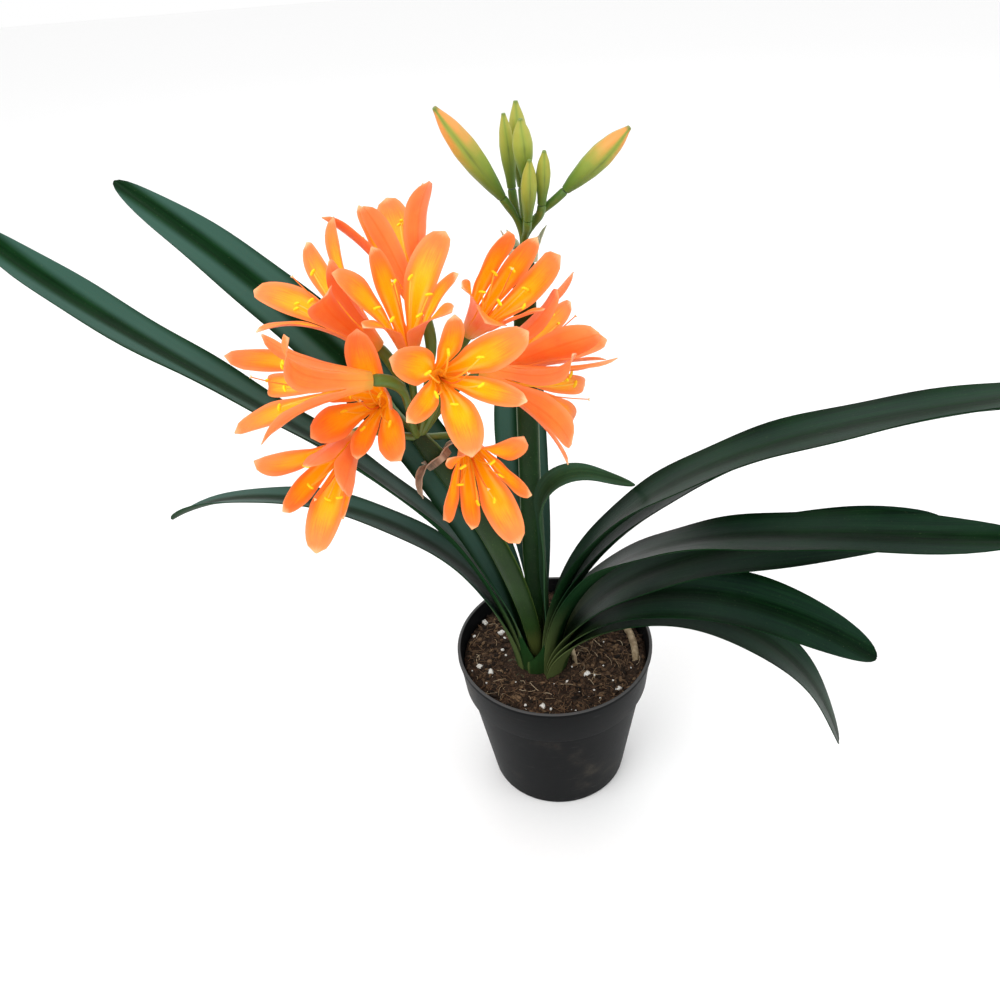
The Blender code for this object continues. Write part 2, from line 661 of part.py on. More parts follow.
def build_stamens(bloom, seed):
    """Six filaments with anthers and one longer style on a small disc in the tube."""
    foot, axis, first, second = bloom_axes(bloom)
    draw = random.Random(seed)
    down = Vector((0, 0, -1))
    down -= axis * down.dot(axis)
    disc_foot = TEPAL_THICKNESS / 2 + GAP
    turn = axis.to_track_quat("Z", "Y").to_matrix().to_4x4()
    mesh = bmesh.new()
    place = Matrix.Translation(foot + axis * (disc_foot + STAMEN_DISC_HEIGHT / 2)) @ turn
    bmesh.ops.create_cone(mesh, cap_ends=True, segments=6, radius1=STAMEN_DISC_RADIUS,
                          radius2=STAMEN_DISC_RADIUS, depth=STAMEN_DISC_HEIGHT, matrix=place)
    pieces = [mesh_object("disc", mesh)]
    root = foot + axis * (disc_foot + STAMEN_DISC_HEIGHT / 2)
    for i in range(FILAMENT_COUNT + 1):
        style = i == FILAMENT_COUNT
        angle = math.radians(bloom.turn + 60 * i + draw.uniform(-12, 12))
        lean = STYLE_LEAN if style else FILAMENT_LEAN * draw.uniform(0.75, 1.15)
        length = STYLE_LENGTH if style else FILAMENT_LENGTH * draw.uniform(0.88, 1.04)
        out = first * math.cos(angle) + second * math.sin(angle)
        inset = 0.0 if style else STAMEN_DISC_RADIUS * 0.55
        knots = []
        for t in (0.0, 0.45, 1.0):
            sway = out * (inset + lean * t ** 1.6) + down * (STAMEN_DROOP * math.sin(math.pi * t))
            height = (root - foot).dot(axis) + length * t
            clear = STAMEN_CLEARANCE + ANTHER_CLEARANCE * t
            knots.append(root + axis * (length * t) + inside_bloom(bloom, sway, height, clear, first, second))
        pieces.append(tube("filament", knots, [FILAMENT_RADIUS] * len(knots), 4))
        if style:
            continue
        mesh = bmesh.new()
        across = Matrix.Rotation(math.radians(draw.uniform(0, 180)), 4, axis)
        lie = across @ first.to_track_quat("Z", "Y").to_matrix().to_4x4()
        size = Matrix.Diagonal((ANTHER_RADIUS, ANTHER_RADIUS, ANTHER_HALF_LENGTH, 1.0))
        bmesh.ops.create_uvsphere(mesh, u_segments=4, v_segments=3, radius=1.0,
                                  matrix=Matrix.Translation(knots[-1]) @ lie @ size)
        pieces.append(mesh_object("anther", mesh))
    return fuse("stamens_" + bloom.name, pieces, STAMEN_YELLOW)


# Stalks with their pedicels
def curve_points(start, control_a, control_b, end, count):
    """Points along a cubic curve."""
    points = []
    for i in range(count):
        t = i / (count - 1)
        points.append(start * (1 - t) ** 3 + control_a * 3 * t * (1 - t) ** 2
                      + control_b * 3 * t ** 2 * (1 - t) + end * t ** 3)
    return points


def oval_ring(mesh, centre, side, front, half_width, half_depth):
    ring = []
    for i in range(STALK_SIDES):
        angle = 2 * math.pi * i / STALK_SIDES
        offset = side * half_width * math.cos(angle) + front * half_depth * math.sin(angle)
        ring.append(mesh.verts.new(centre + offset))
    return ring


def loft(name, rings, mesh, material=None, collection=None):
    """A closed solid through rings with equal counts of points."""
    for lower, upper in zip(rings, rings[1:]):
        for i in range(len(lower)):
            j = (i + 1) % len(lower)
            mesh.faces.new((lower[i], lower[j], upper[j], upper[i]))
    mesh.faces.new(rings[0])
    mesh.faces.new(rings[-1])
    bmesh.ops.recalc_face_normals(mesh, faces=mesh.faces)
    return mesh_object(name, mesh, material, collection)


def build_scape(stalk):
    """The flattened stalk, with a straight peg that stands in the crown."""
    foot = Vector(crown_place(*stalk.foot, CROWN_TOP))
    start, middle, top = Vector(stalk.start), Vector(stalk.middle), Vector(stalk.top)
    points = [foot - Vector((0, 0, PEG_DEPTH)), foot]
    points += curve_points(start, start.lerp(middle, 2 / 3), top.lerp(middle, 2 / 3), top, STALK_ROWS)
    mesh = bmesh.new()
    rings = []
    last = len(points) - 1
    for i, point in enumerate(points):
        ahead = points[min(i + 1, last)] - points[max(i - 1, 0)]
        if i < 2:
            ahead = Vector((0, 0, 1))
        side = Vector((0, 1, 0)).cross(ahead).normalized()
        front = ahead.cross(side).normalized()
        grow = PEG_SHARE + (1 - PEG_SHARE) * min(1.0, max(0, i - 1) / 3)
        if i == last:
            grow *= KNOB_SHARE
        rings.append(oval_ring(mesh, point, side, front,
                               stalk.half_width * grow, stalk.half_depth * grow))
    return loft("scape", rings, mesh)


def build_peg_hole(stalk):
    """Cutter of the hole in the crown in which the stalk's peg stands."""
    mesh = bmesh.new()
    foot = Vector(crown_place(*stalk.foot, CROWN_TOP))
    rings = []
    for drop in (-PEG_DEPTH, PEG_DEPTH + GAP):
        rings.append(oval_ring(mesh, foot - Vector((0, 0, drop)), Vector((1, 0, 0)), Vector((0, 1, 0)),
                               stalk.half_width * PEG_SHARE + GAP, stalk.half_depth * PEG_SHARE + GAP))
    return loft("peg_cutter", rings, mesh, None, CUTTERS)


def pedicel(start, up, foot, axis, girth, ovary):
    """A flower stem that ends a gap short of the flower, swollen to its ovary."""
    end = foot - axis * (TEPAL_THICKNESS / 2 + GAP)
    neck = end - axis * ovary * 0.5
    reach = (neck - start).length
    leave = start + up * (reach * 0.35)
    points = curve_points(start, leave, neck - axis * reach * 0.35, neck, 6)
    radii = [girth * 1.15, girth, girth, (girth + ovary) / 2, ovary, ovary, ovary * 0.85]
    return tube("pedicel", [*points, end], radii, 6)


def build_flower_stalk():
    top = Vector(FLOWER_STALK.top)
    pieces = [build_scape(FLOWER_STALK)]
    for bloom in BLOOMS:
        foot, axis, _, _ = bloom_axes(bloom)
        pieces.append(pedicel(top, (foot - top).normalized(), foot, axis, PEDICEL_RADIUS, OVARY_RADIUS))
    return fuse("flower_stalk", pieces, STALK_GREEN)


def build_bud_stalk():
    top = Vector(BUD_STALK.top)
    up = (top - Vector(BUD_STALK.middle)).normalized()
    pieces = [build_scape(BUD_STALK)]
    for bud in BUDS:
        foot = Vector(bud.foot)
        axis = (Vector(bud.tip) - foot).normalized()
        pieces.append(pedicel(top, up, foot, axis, PEDICEL_RADIUS * 0.85, BUD_FOOT_RADIUS))
    return fuse("bud_stalk", pieces, STALK_GREEN)


def build_bud(bud):
    """A closed flower bud, widest past its middle and pointed."""
    foot, tip = Vector(bud.foot), Vector(bud.tip)
    count = len(BUD_SHAPE)
    points = [foot.lerp(tip, share) for share, _ in BUD_SHAPE]
    radii = [max(bud.radius * girth, BUD_TIP_RADIUS) for _, girth in BUD_SHAPE]
    radii[0] = BUD_FOOT_RADIUS
    return baked(tube("bud", points, radii[:count], 8), "bud_" + bud.name, BUD_GREEN)


def build_bracts(bracts, material):
    """Papery bracts that grow from an oval ring round the stalk."""
    axis = Vector(bracts.axis).normalized()
    first = Vector((0, 1, 0)).cross(axis).normalized()
    second = axis.cross(first)
    centre = Vector(bracts.centre)
    share = 2 * math.pi / len(bracts.lengths)

    def ring_point(angle, grow):
        return (first * (bracts.half_width * grow * math.cos(angle))
                + second * (bracts.half_depth * grow * math.sin(angle)))

    sheet = Sheet()
    low, high = [], []
    for i in range(len(bracts.lengths) * BRACT_COLUMNS):
        angle = math.radians(bracts.turn) + share * (i / BRACT_COLUMNS - 0.5)
        low.append(centre + ring_point(angle, 1.0))
        high.append(centre + ring_point(angle, 1.06) + axis * BRACT_RING)
    low_ring, high_ring = sheet.row(low), sheet.row(high)
    low_ring.append(low_ring[0])
    high_ring.append(high_ring[0])
    sheet.join(low_ring, high_ring)
    for j, (length, angle) in enumerate(zip(bracts.lengths, bracts.angles)):
        lower = high_ring[j * BRACT_COLUMNS:(j + 1) * BRACT_COLUMNS + 1]
        middle = ring_point(math.radians(bracts.turn) + share * j, 1.06)
        out = middle.normalized()
        side = axis.cross(out)
        foot_width = (lower[-1].co - lower[0].co).length
        point = centre + middle + axis * BRACT_RING
        for row in range(1, BRACT_ROWS + 1):
            slope = math.radians(angle) * (0.5 + 0.5 * row / BRACT_ROWS)
            ahead = axis * math.cos(slope) + out * math.sin(slope)
            point = point + ahead * (length / BRACT_ROWS)
            if row == BRACT_ROWS:
                sheet.close(lower, point)
                break
            back = out * math.cos(slope) - axis * math.sin(slope)
            width = foot_width * (1.0 - 0.75 * row / BRACT_ROWS)
            points = []
            for u in np.linspace(-1.0, 1.0, BRACT_COLUMNS + 1):
                points.append(point + side * (u * width / 2) - back * (BRACT_ARCH * width * u * u))
            upper = sheet.row(points)
            sheet.join(lower, upper)
            lower = upper
    return sheet.solid(bracts.name, BRACT_THICKNESS, material)


def build_plant():
    holes = [build_peg_hole(FLOWER_STALK), build_peg_hole(BUD_STALK)]
    crown, crown_hole = build_crown(holes)
    grooves = [build_root(root)[1] for root in ROOTS]
    build_pot()
    build_soil(crown_hole, grooves)
    for leaf in LEAVES:
        build_leaf(leaf)
    build_flower_stalk()
    build_bud_stalk()
    for seed, bloom in enumerate(BLOOMS):
        build_bloom(bloom)
        build_stamens(bloom, seed)
    for bud in BUDS:
        build_bud(bud)
    build_bracts(FLOWER_BRACTS, PAPER_BROWN)
    build_bracts(BUD_BRACTS, PAPER_GREEN)
    for piece in PARTS.objects:
        piece.data.shade_smooth()
        piece.data.set_sharp_from_angle(angle=math.radians(SHARP_ANGLE))


build_plant()
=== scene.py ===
"""Looks of a potted clivia in bloom: finer leaves, flowers, buds, soil and pot with their finishes.

Metres, +Z up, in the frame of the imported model.
"""

import math
import random
from collections import namedtuple

import bmesh
import bpy
import numpy as np
from mathutils import Matrix, Vector, noise


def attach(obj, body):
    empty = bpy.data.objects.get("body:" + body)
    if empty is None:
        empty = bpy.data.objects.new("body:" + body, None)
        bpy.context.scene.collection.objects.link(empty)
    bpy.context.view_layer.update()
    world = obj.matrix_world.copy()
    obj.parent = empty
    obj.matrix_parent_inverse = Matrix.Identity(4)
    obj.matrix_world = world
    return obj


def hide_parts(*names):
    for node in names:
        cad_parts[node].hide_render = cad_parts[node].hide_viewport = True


bl_info = {
    "name": "Potted clivia",
    "version": (1, 0, 0),
    "blender": (4, 5, 0),
    "location": "3D View > Sidebar > Clivia",
    "description": "Builds the leaves, flowers, buds, soil and pot of a potted clivia, and its stage",
    "category": "Object",
}

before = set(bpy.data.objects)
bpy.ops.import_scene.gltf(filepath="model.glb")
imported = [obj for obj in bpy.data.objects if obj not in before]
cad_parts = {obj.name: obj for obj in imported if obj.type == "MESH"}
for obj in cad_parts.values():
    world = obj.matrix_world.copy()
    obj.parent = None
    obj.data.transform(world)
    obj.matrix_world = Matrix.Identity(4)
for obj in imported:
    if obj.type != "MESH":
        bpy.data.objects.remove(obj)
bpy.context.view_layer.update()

# Pot
POT_HEIGHT = 0.112
RIM_RADIUS = 0.065
COLLAR_HEIGHT = 0.0284
COLLAR_FOOT_RADIUS = 0.0618
COLLAR_STEP = 0.0025
BASE_RADIUS = 0.0464
BASE_CHAMFER = 0.0012
WALL = 0.0014
FLOOR = 0.0022
LIP_HEIGHT = 0.0026
LIP_OVERHANG = 0.0006
DRAIN_COUNT = 6
DRAIN_RADIUS = 0.0038
DRAIN_RING_RADIUS = 0.031

# Soil
SOIL_TOP = 0.101
SOIL_SWELL = 0.0016
SOIL_GRAIN = 90.0
SOIL_CLEARANCE = 0.0007
PERLITE_RADIUS = 0.0021
PERLITE_PLACES = ((-0.046, 0.035), (-0.035, 0.023), (-0.051, -0.008), (-0.044, -0.013),
                  (0.0195, -0.022), (-0.012, -0.047), (0.038, -0.037), (0.024, 0.036))

# Clearance between pieces that lie on each other
GAP = 0.0003

# Crown: the stump in the soil that carries leaves and stalks
CROWN_X = -0.012
CROWN_Y = -0.003
CROWN_RADIUS = 0.0213
CROWN_TOP = 0.0996
PEG_DEPTH = 0.009

# Leaves. A leaf leaves the crown as half a tube round the stalks and opens into a gutter.
LEAF_FOOT = CROWN_TOP + GAP
LEAF_THICKNESS = 0.0012
SHEATH_RADIUS = 0.0106
SHEATH_PITCH = 0.0016
FAN_RIGHT = -15.0
FAN_LEFT = 163.0
FAN_BACK = 77.0

# Blooms
TUBE_LENGTH = 0.014
TUBE_FOOT_RADIUS = 0.0042
TUBE_MOUTH_RADIUS = 0.0075
THROAT_ANGLE = 14.0
TEPAL_THICKNESS = 0.0009
INNER_LENGTH = 0.058
INNER_WIDTH = 0.0190
OUTER_LENGTH = 0.054
OUTER_WIDTH = 0.0125
WIDEST_AT = 0.62
TEPAL_ARCH = 0.10
TEPAL_MARGIN = 0.0008

# Stamens and style
FILAMENT_COUNT = 6
FILAMENT_LENGTH = 0.047
FILAMENT_RADIUS = 0.0006
FILAMENT_LEAN = 0.0135
STYLE_LENGTH = 0.058
STYLE_LEAN = 0.004
STAMEN_DROOP = 0.0042
ANTHER_HALF_LENGTH = 0.0023
ANTHER_RADIUS = 0.0009
STAMEN_DISC_RADIUS = 0.0025
STAMEN_DISC_HEIGHT = 0.0016
STAMEN_CLEARANCE = 0.0024
ANTHER_CLEARANCE = 0.0020

# Stalks, buds and the papery bracts under each umbel
PEG_SHARE = 0.8
KNOB_SHARE = 0.75
PEDICEL_RADIUS = 0.0021
OVARY_RADIUS = 0.0034
BUD_FOOT_RADIUS = 0.0024
BUD_TIP_RADIUS = 0.0009
BUD_SHAPE = ((0.0, 0.4), (0.13, 0.62), (0.36, 0.92), (0.58, 1.0), (0.8, 0.76), (0.93, 0.4), (1.0, 0.12))
BRACT_RING = 0.004
BRACT_ROWS = 4
BRACT_ARCH = 0.12
BRACT_THICKNESS = 0.0007
LARGE_BUD_RADIUS = 0.006
FLOWER_BRACT_SEED = 3
BUD_BRACT_SEED = 5


# Angles are degrees. heading: compass angle from +X towards +Y. rise: slope above level.
Leaf = namedtuple("Leaf", "name fan layer heading drift tip_rise bend length width twist "
                          "tip_twist taper gutter rise opening wrap")
Bloom = namedtuple("Bloom", "name foot heading rise turn spreads sways")
Bud = namedtuple("Bud", "name foot tip radius")
Stalk = namedtuple("Stalk", "foot start middle top half_width half_depth")
Root = namedtuple("Root", "name knots radius")
Bracts = namedtuple("Bracts", "name centre axis half_width half_depth turn lengths angles")

LEAVES = (
    Leaf("leaf_right_1", FAN_RIGHT, 1, -33, 16, 15, 2.0, 0.464, 0.0447, 6, -28, 0.47, 20, 92, 0.112, 62),
    Leaf("leaf_right_2", FAN_RIGHT, 2, -11, 5, -6, 1.9, 0.513, 0.0393, -14, -10, 0.50, 17, 90, 0.100, 62),
    Leaf("leaf_right_3", FAN_RIGHT, 3, -45, 11, 19, 2.3, 0.344, 0.0420, -5, 1, 0.69, 21, 90, 0.066, 62),
    Leaf("leaf_right_4", FAN_RIGHT, 4, -23, 10, 15, 2.3, 0.276, 0.0407, 1, 22, 0.63, 15, 83, 0.045, 62),
    Leaf("leaf_right_5", FAN_RIGHT, 5, -23, 5, -30, 1.45, 0.235, 0.0426, 2, 17, 0.55, 16, 82, 0.038, 62),
    Leaf("leaf_right_6", FAN_RIGHT, 6, -18, 3, -72, 1.5, 0.259, 0.0384, -2, 2, 0.46, 17, 81, 0.033, 62),
    Leaf("leaf_left_1", FAN_LEFT, 0, 153, -7, 24, 1.6, 0.419, 0.0400, -10, -10, 0.56, 12, 91, 0.070, 62),
    Leaf("leaf_left_2", FAN_LEFT, 1, 187, -40, 31, 2.3, 0.434, 0.0420, 19, -13, 0.49, 25, 83, 0.060, 62),
    Leaf("leaf_left_3", FAN_LEFT, 2, 180, -15, -38, 0.8, 0.288, 0.0375, 9, 24, 0.51, 20, 82, 0.045, 62),
    Leaf("leaf_centre", FAN_BACK, -1, 99, -31, 9, 1.2, 0.255, 0.0387, -10, -1, 0.51, 25, 83, 0.102, 22),
    Leaf("leaf_young", FAN_RIGHT, -0.5, 5, 0, -25, (0.60, 0.90), 0.200, 0.0220, 0, 0, 0.60, 25, 91, 0.080,
         36),
)

BLOOMS = (
    Bloom("a", (-0.089, 0.015, 0.333), -170, 54, 234, (58, 63, 79, 48, 53, 65), (-3, -1, 24, -11, 1, -6)),
    Bloom("b", (-0.062, 0.022, 0.347), 125, 61, 347, (44, 50, 62, 28, 37, 8), (0, 0, 0, -3, 8, -5)),
    Bloom("c", (-0.072, 0.014, 0.328), -84, 65, 176, (47, 54, 51, 38, 82, 19), (-6, -5, 13, -2, -5, 6)),
    Bloom("d", (-0.038, 0.022, 0.334), -48, 48, 93, (8, 53, 60, 22, 18, 25), (-11, 16, -10, -11, 19, -4)),
    Bloom("e", (-0.033, 0.014, 0.314), 2, 23, 55, (26, 58, 25, 25, 25, 59), (0, 2, 0, 0, 0, -2)),
    Bloom("f", (-0.056, -0.008, 0.325), -75, 26, 27, (70, 43, 56, 53, 60, 56), (-4, -1, 6, -2, -2, 3)),
    Bloom("g", (-0.033, -0.003, 0.323), -20, -15, 58, (35, 98, 62, 50, 90, 80), (3, -3, 0, 0, 12, -16)),
    Bloom("h", (-0.092, 0.024, 0.293), -97, 28, 83, (72, 11, 30, 30, 52, 8), (6, 7, 8, 6, -14, -10)),
    Bloom("i", (-0.0895, -0.0285, 0.337), -163, 12, 149, (8, 104, 30, 54, 104, 63), (8, 0, -2, 2, 24, -24)),
    Bloom("j", (-0.108, -0.003, 0.287), -104, 5, 266, (56, 9, 14, 12, 50, 9), (-3, 2, 0, 2, 0, 0)),
    Bloom("k", (-0.045, 0.010, 0.270), -81, 3, 59, (66, 50, 24, 8, 56, 22), (-4, 5, 10, -4, -4, -1)),
)

FLOWER_STALK = Stalk((-0.0013, -0.0047), (-0.0132, -0.0100, 0.125), (-0.022, -0.025, 0.215),
                     (-0.072, 0.002, 0.281), 0.0062, 0.0042)
BUD_STALK = Stalk((0.0005, 0.0028), (-0.0115, 0.0010, 0.120), (-0.0103, 0.0160, 0.240),
                  (-0.0045, 0.0440, 0.372), 0.0066, 0.0038)

BUDS = (
    Bud("a", (-0.015, 0.038, 0.403), (-0.045, 0.022, 0.455), 0.0065),
    Bud("b", (-0.003, 0.057, 0.401), (-0.004, 0.060, 0.445), 0.0055),
    Bud("c", (-0.002, 0.040, 0.412), (-0.003, 0.038, 0.442), 0.0055),
    Bud("d", (-0.009, 0.048, 0.404), (-0.011, 0.050, 0.442), 0.0042),
    Bud("e", (-0.002, 0.034, 0.391), (0.000, 0.026, 0.425), 0.0044),
    Bud("f", (0.006, 0.037, 0.398), (0.008, 0.032, 0.427), 0.0040),
    Bud("g", (0.019, 0.038, 0.404), (0.051, 0.030, 0.436), 0.0065),
)

FLOWER_BRACTS = Bracts("spathe_flowers", (-0.0610, -0.0035, 0.2665), (-50, 23, 65), 0.0082, 0.0064,
                        240, (0.022, 0.007, 0.022), (150, 120, 150))
BUD_BRACTS = Bracts("spathe_buds", (-0.0050, 0.0425, 0.3640), (5, 25, 100), 0.0076, 0.0050,
                    30, (0.016, 0.014, 0.015, 0.013), (30, 36, 28, 36))

ROOTS = (
    Root("root_large", ((0.0460, 0.0280, -0.0030), (0.0496, 0.0212, 0.0006), (0.0530, 0.0110, 0.0008),
                        (0.0540, 0.0000, 0.0008), (0.0535, -0.0090, 0.0003), (0.0520, -0.0160, -0.0030)),
         0.0025),
    Root("root_small", ((0.0118, 0.0070, -0.0025), (0.0121, 0.0020, 0.0004), (0.0124, -0.0040, 0.0006),
                        (0.0128, -0.0090, 0.0003), (0.0130, -0.0130, -0.0025)),
         0.0017),
)

# Smaller perlite grains on the soil, and the seed, reach and count of what is strewn there
SOIL_SEED = 11
STREWN_REACH = 0.0595
CRUMB_COUNT = 26
FINE_PERLITE = ((-0.036, 0.037), (-0.033, 0.018), (-0.035, 0.006), (-0.033, 0.001), (-0.054, 0.021),
                (0.024, -0.024), (-0.007, -0.050), (0.006, -0.027), (-0.023, -0.045))

# Short old leaf bases round the front of the plant's foot; start and end are headings
Sheath = namedtuple("Sheath", "start end radius start_height end_height")
SHEATH_LIFT = 0.0003
SHEATHS = (
    Sheath(-152.0, -92.0, 0.0130, 0.034, 0.008),
    Sheath(-118.0, -62.0, 0.0145, 0.010, 0.030),
)


# Finer steps of the shown pieces
LEAF_FINE_ROWS = 72
LEAF_FINE_COLUMNS = 12
TUBE_FINE_ROWS = 4
TEPAL_FINE_ROWS = 18
TEPAL_FINE_COLUMNS = 10
POT_FINE_STEPS = 160
SOIL_FINE_RINGS = 84
SOIL_FINE_STEPS = 252
FLOOR_SIZE = 6.0
FLOOR_DROP = 0.0002
INNER_FACE = 1.0
OUTER_TEPAL_TAG = 2.0

# The camera of the photograph
CAMERA_PLACE = (-0.0286, -0.479, 0.590)
CAMERA_PITCH = -36.7
CAMERA_ROLL = -4.61
CAMERA_LENS = 36.0

# Round soft lights: place and width of each, the point that all face, and the back light's power
LIGHTS = (
    ("key", (-0.75, -0.75, 1.35), 1.1),
    ("fill", (1.05, -0.35, 0.95), 1.2),
    ("back", (0.15, 1.0, 1.15), 1.2),
)
LIGHT_AIM = (0.0, 0.0, 0.2)
BACK_SHARE = 0.8


def smooth_step(low, high, value):
    t = np.clip((value - low) / (high - low), 0.0, 1.0)
    return t * t * (3.0 - 2.0 * t)


# Shader maths
class Value:
    """A shader socket that can stand in a Python expression."""

    def __init__(self, finish, socket):
        self.finish = finish
        self.socket = socket

    def maths(self, operation, first, second=0.0):
        node = self.finish.node("ShaderNodeMath", {"operation": operation}, {0: first, 1: second})
        return Value(self.finish, node.outputs[0])

    def __add__(self, other):
        return self.maths("ADD", self, other)

    def __radd__(self, other):
        return self.maths("ADD", other, self)

    def __sub__(self, other):
        return self.maths("SUBTRACT", self, other)

    def __rsub__(self, other):
        return self.maths("SUBTRACT", other, self)

    def __mul__(self, other):
        return self.maths("MULTIPLY", self, other)

    def __rmul__(self, other):
        return self.maths("MULTIPLY", other, self)

    def __abs__(self):
        return self.maths("ABSOLUTE", self)


class Finish:
    """A material whose nodes are made by expressions."""

    def __init__(self, name):
        self.material = bpy.data.materials.new(name)
        self.material.use_nodes = True
        self.tree = self.material.node_tree
        self.shader = self.tree.nodes["Principled BSDF"]

    def node(self, kind, settings=None, sockets=None):
        made = self.tree.nodes.new(kind)
        for key, setting in (settings or {}).items():
            if key == "stops":
                stops = made.color_ramp.elements
                while len(stops) < len(setting):
                    stops.new(1.0)
                for stop, (place, colour) in zip(stops, setting):
                    stop.position = place
                    stop.color = (*colour, 1.0)
            else:
                setattr(made, key, setting)
        for key, value in (sockets or {}).items():
            if isinstance(value, Value):
                self.tree.links.new(value.socket, made.inputs[key])
            else:
                made.inputs[key].default_value = value
        return made

    def place(self):
        """The point on the piece, in metres in the row frame."""
        return Value(self, self.node("ShaderNodeTexCoord").outputs["Object"])

    def parts(self, vector):
        split = self.node("ShaderNodeSeparateXYZ", None, {0: vector})
        return [Value(self, output) for output in split.outputs]

    def tag(self, name):
        """The three numbers that the mesh keeps for each point."""
        read = self.node("ShaderNodeAttribute", {"attribute_name": name})
        return self.parts(Value(self, read.outputs["Vector"]))

    def join(self, x, y, z):
        return Value(self, self.node("ShaderNodeCombineXYZ", None, {0: x, 1: y, 2: z}).outputs[0])

    def noise(self, vector, scale, detail=3.0, roughness=0.55):
        made = self.node("ShaderNodeTexNoise", None,
                         {"Vector": vector, "Scale": scale, "Detail": detail, "Roughness": roughness})
        return Value(self, made.outputs["Fac"])

    def between(self, value, low, high):
        """0 below low and 1 above high, smooth in between. low may be above high."""
        first, last = (0.0, 1.0) if low < high else (1.0, 0.0)
        made = self.node("ShaderNodeMapRange", {"interpolation_type": "SMOOTHSTEP"},
                         {"Value": value, "From Min": min(low, high), "From Max": max(low, high),
                          "To Min": first, "To Max": last})
        return Value(self, made.outputs["Result"])

    def ramp(self, value, stops):
        return Value(self, self.node("ShaderNodeValToRGB", {"stops": stops}, {0: value}).outputs[0])

    def mix(self, share, first, second):
        """Between two colours, each an RGB triple or a socket."""
        colours = [c if isinstance(c, Value) else (*tuple(c)[:3], 1.0) for c in (first, second)]
        made = self.node("ShaderNodeMix", {"data_type": "RGBA"},
                         {0: share, 6: colours[0], 7: colours[1]})
        return Value(self, made.outputs[2])

    def coats(self, colour, *layers):
        """Lay layers over a colour, each a share from 0 to 1 and its own colour."""
        for share, tone in layers:
            colour = self.mix(share, colour, tone)
        return colour

    def surface(self, colour, roughness, height=None, depth=0.0002, **fixed):
        """Feed the shader. height is 0 to 1 and depth its size in metres."""
        for key, value in (("Base Color", colour), ("Roughness", roughness)):
            if isinstance(value, Value):
                self.tree.links.new(value.socket, self.shader.inputs[key])
            elif key == "Roughness":
                self.shader.inputs[key].default_value = value
            else:
                self.shader.inputs[key].default_value = (*value, 1.0)
        if height is not None:
            bump = self.node("ShaderNodeBump", None, {"Height": height, "Distance": depth, "Strength": 1.0})
            self.tree.links.new(bump.outputs[0], self.shader.inputs["Normal"])
        for key, value in fixed.items():
            self.shader.inputs[key.replace("_", " ")].default_value = value
        return self.material


# Meshes
def around(first, second, angle):
    """The direction at an angle from first towards second."""
    return first * math.cos(angle) + second * math.sin(angle)


def tube_faces(rings, sides):
    """The faces of a tube of rings of points, closed at both ends."""
    faces = []
    for start in range(0, (rings - 1) * sides, sides):
        for k in range(sides):
            j = (k + 1) % sides
            faces.append((start + k, start + j, start + sides + j, start + sides + k))
    faces.append(tuple(range(sides - 1, -1, -1)))
    faces.append(tuple(range((rings - 1) * sides, rings * sides)))
    return faces


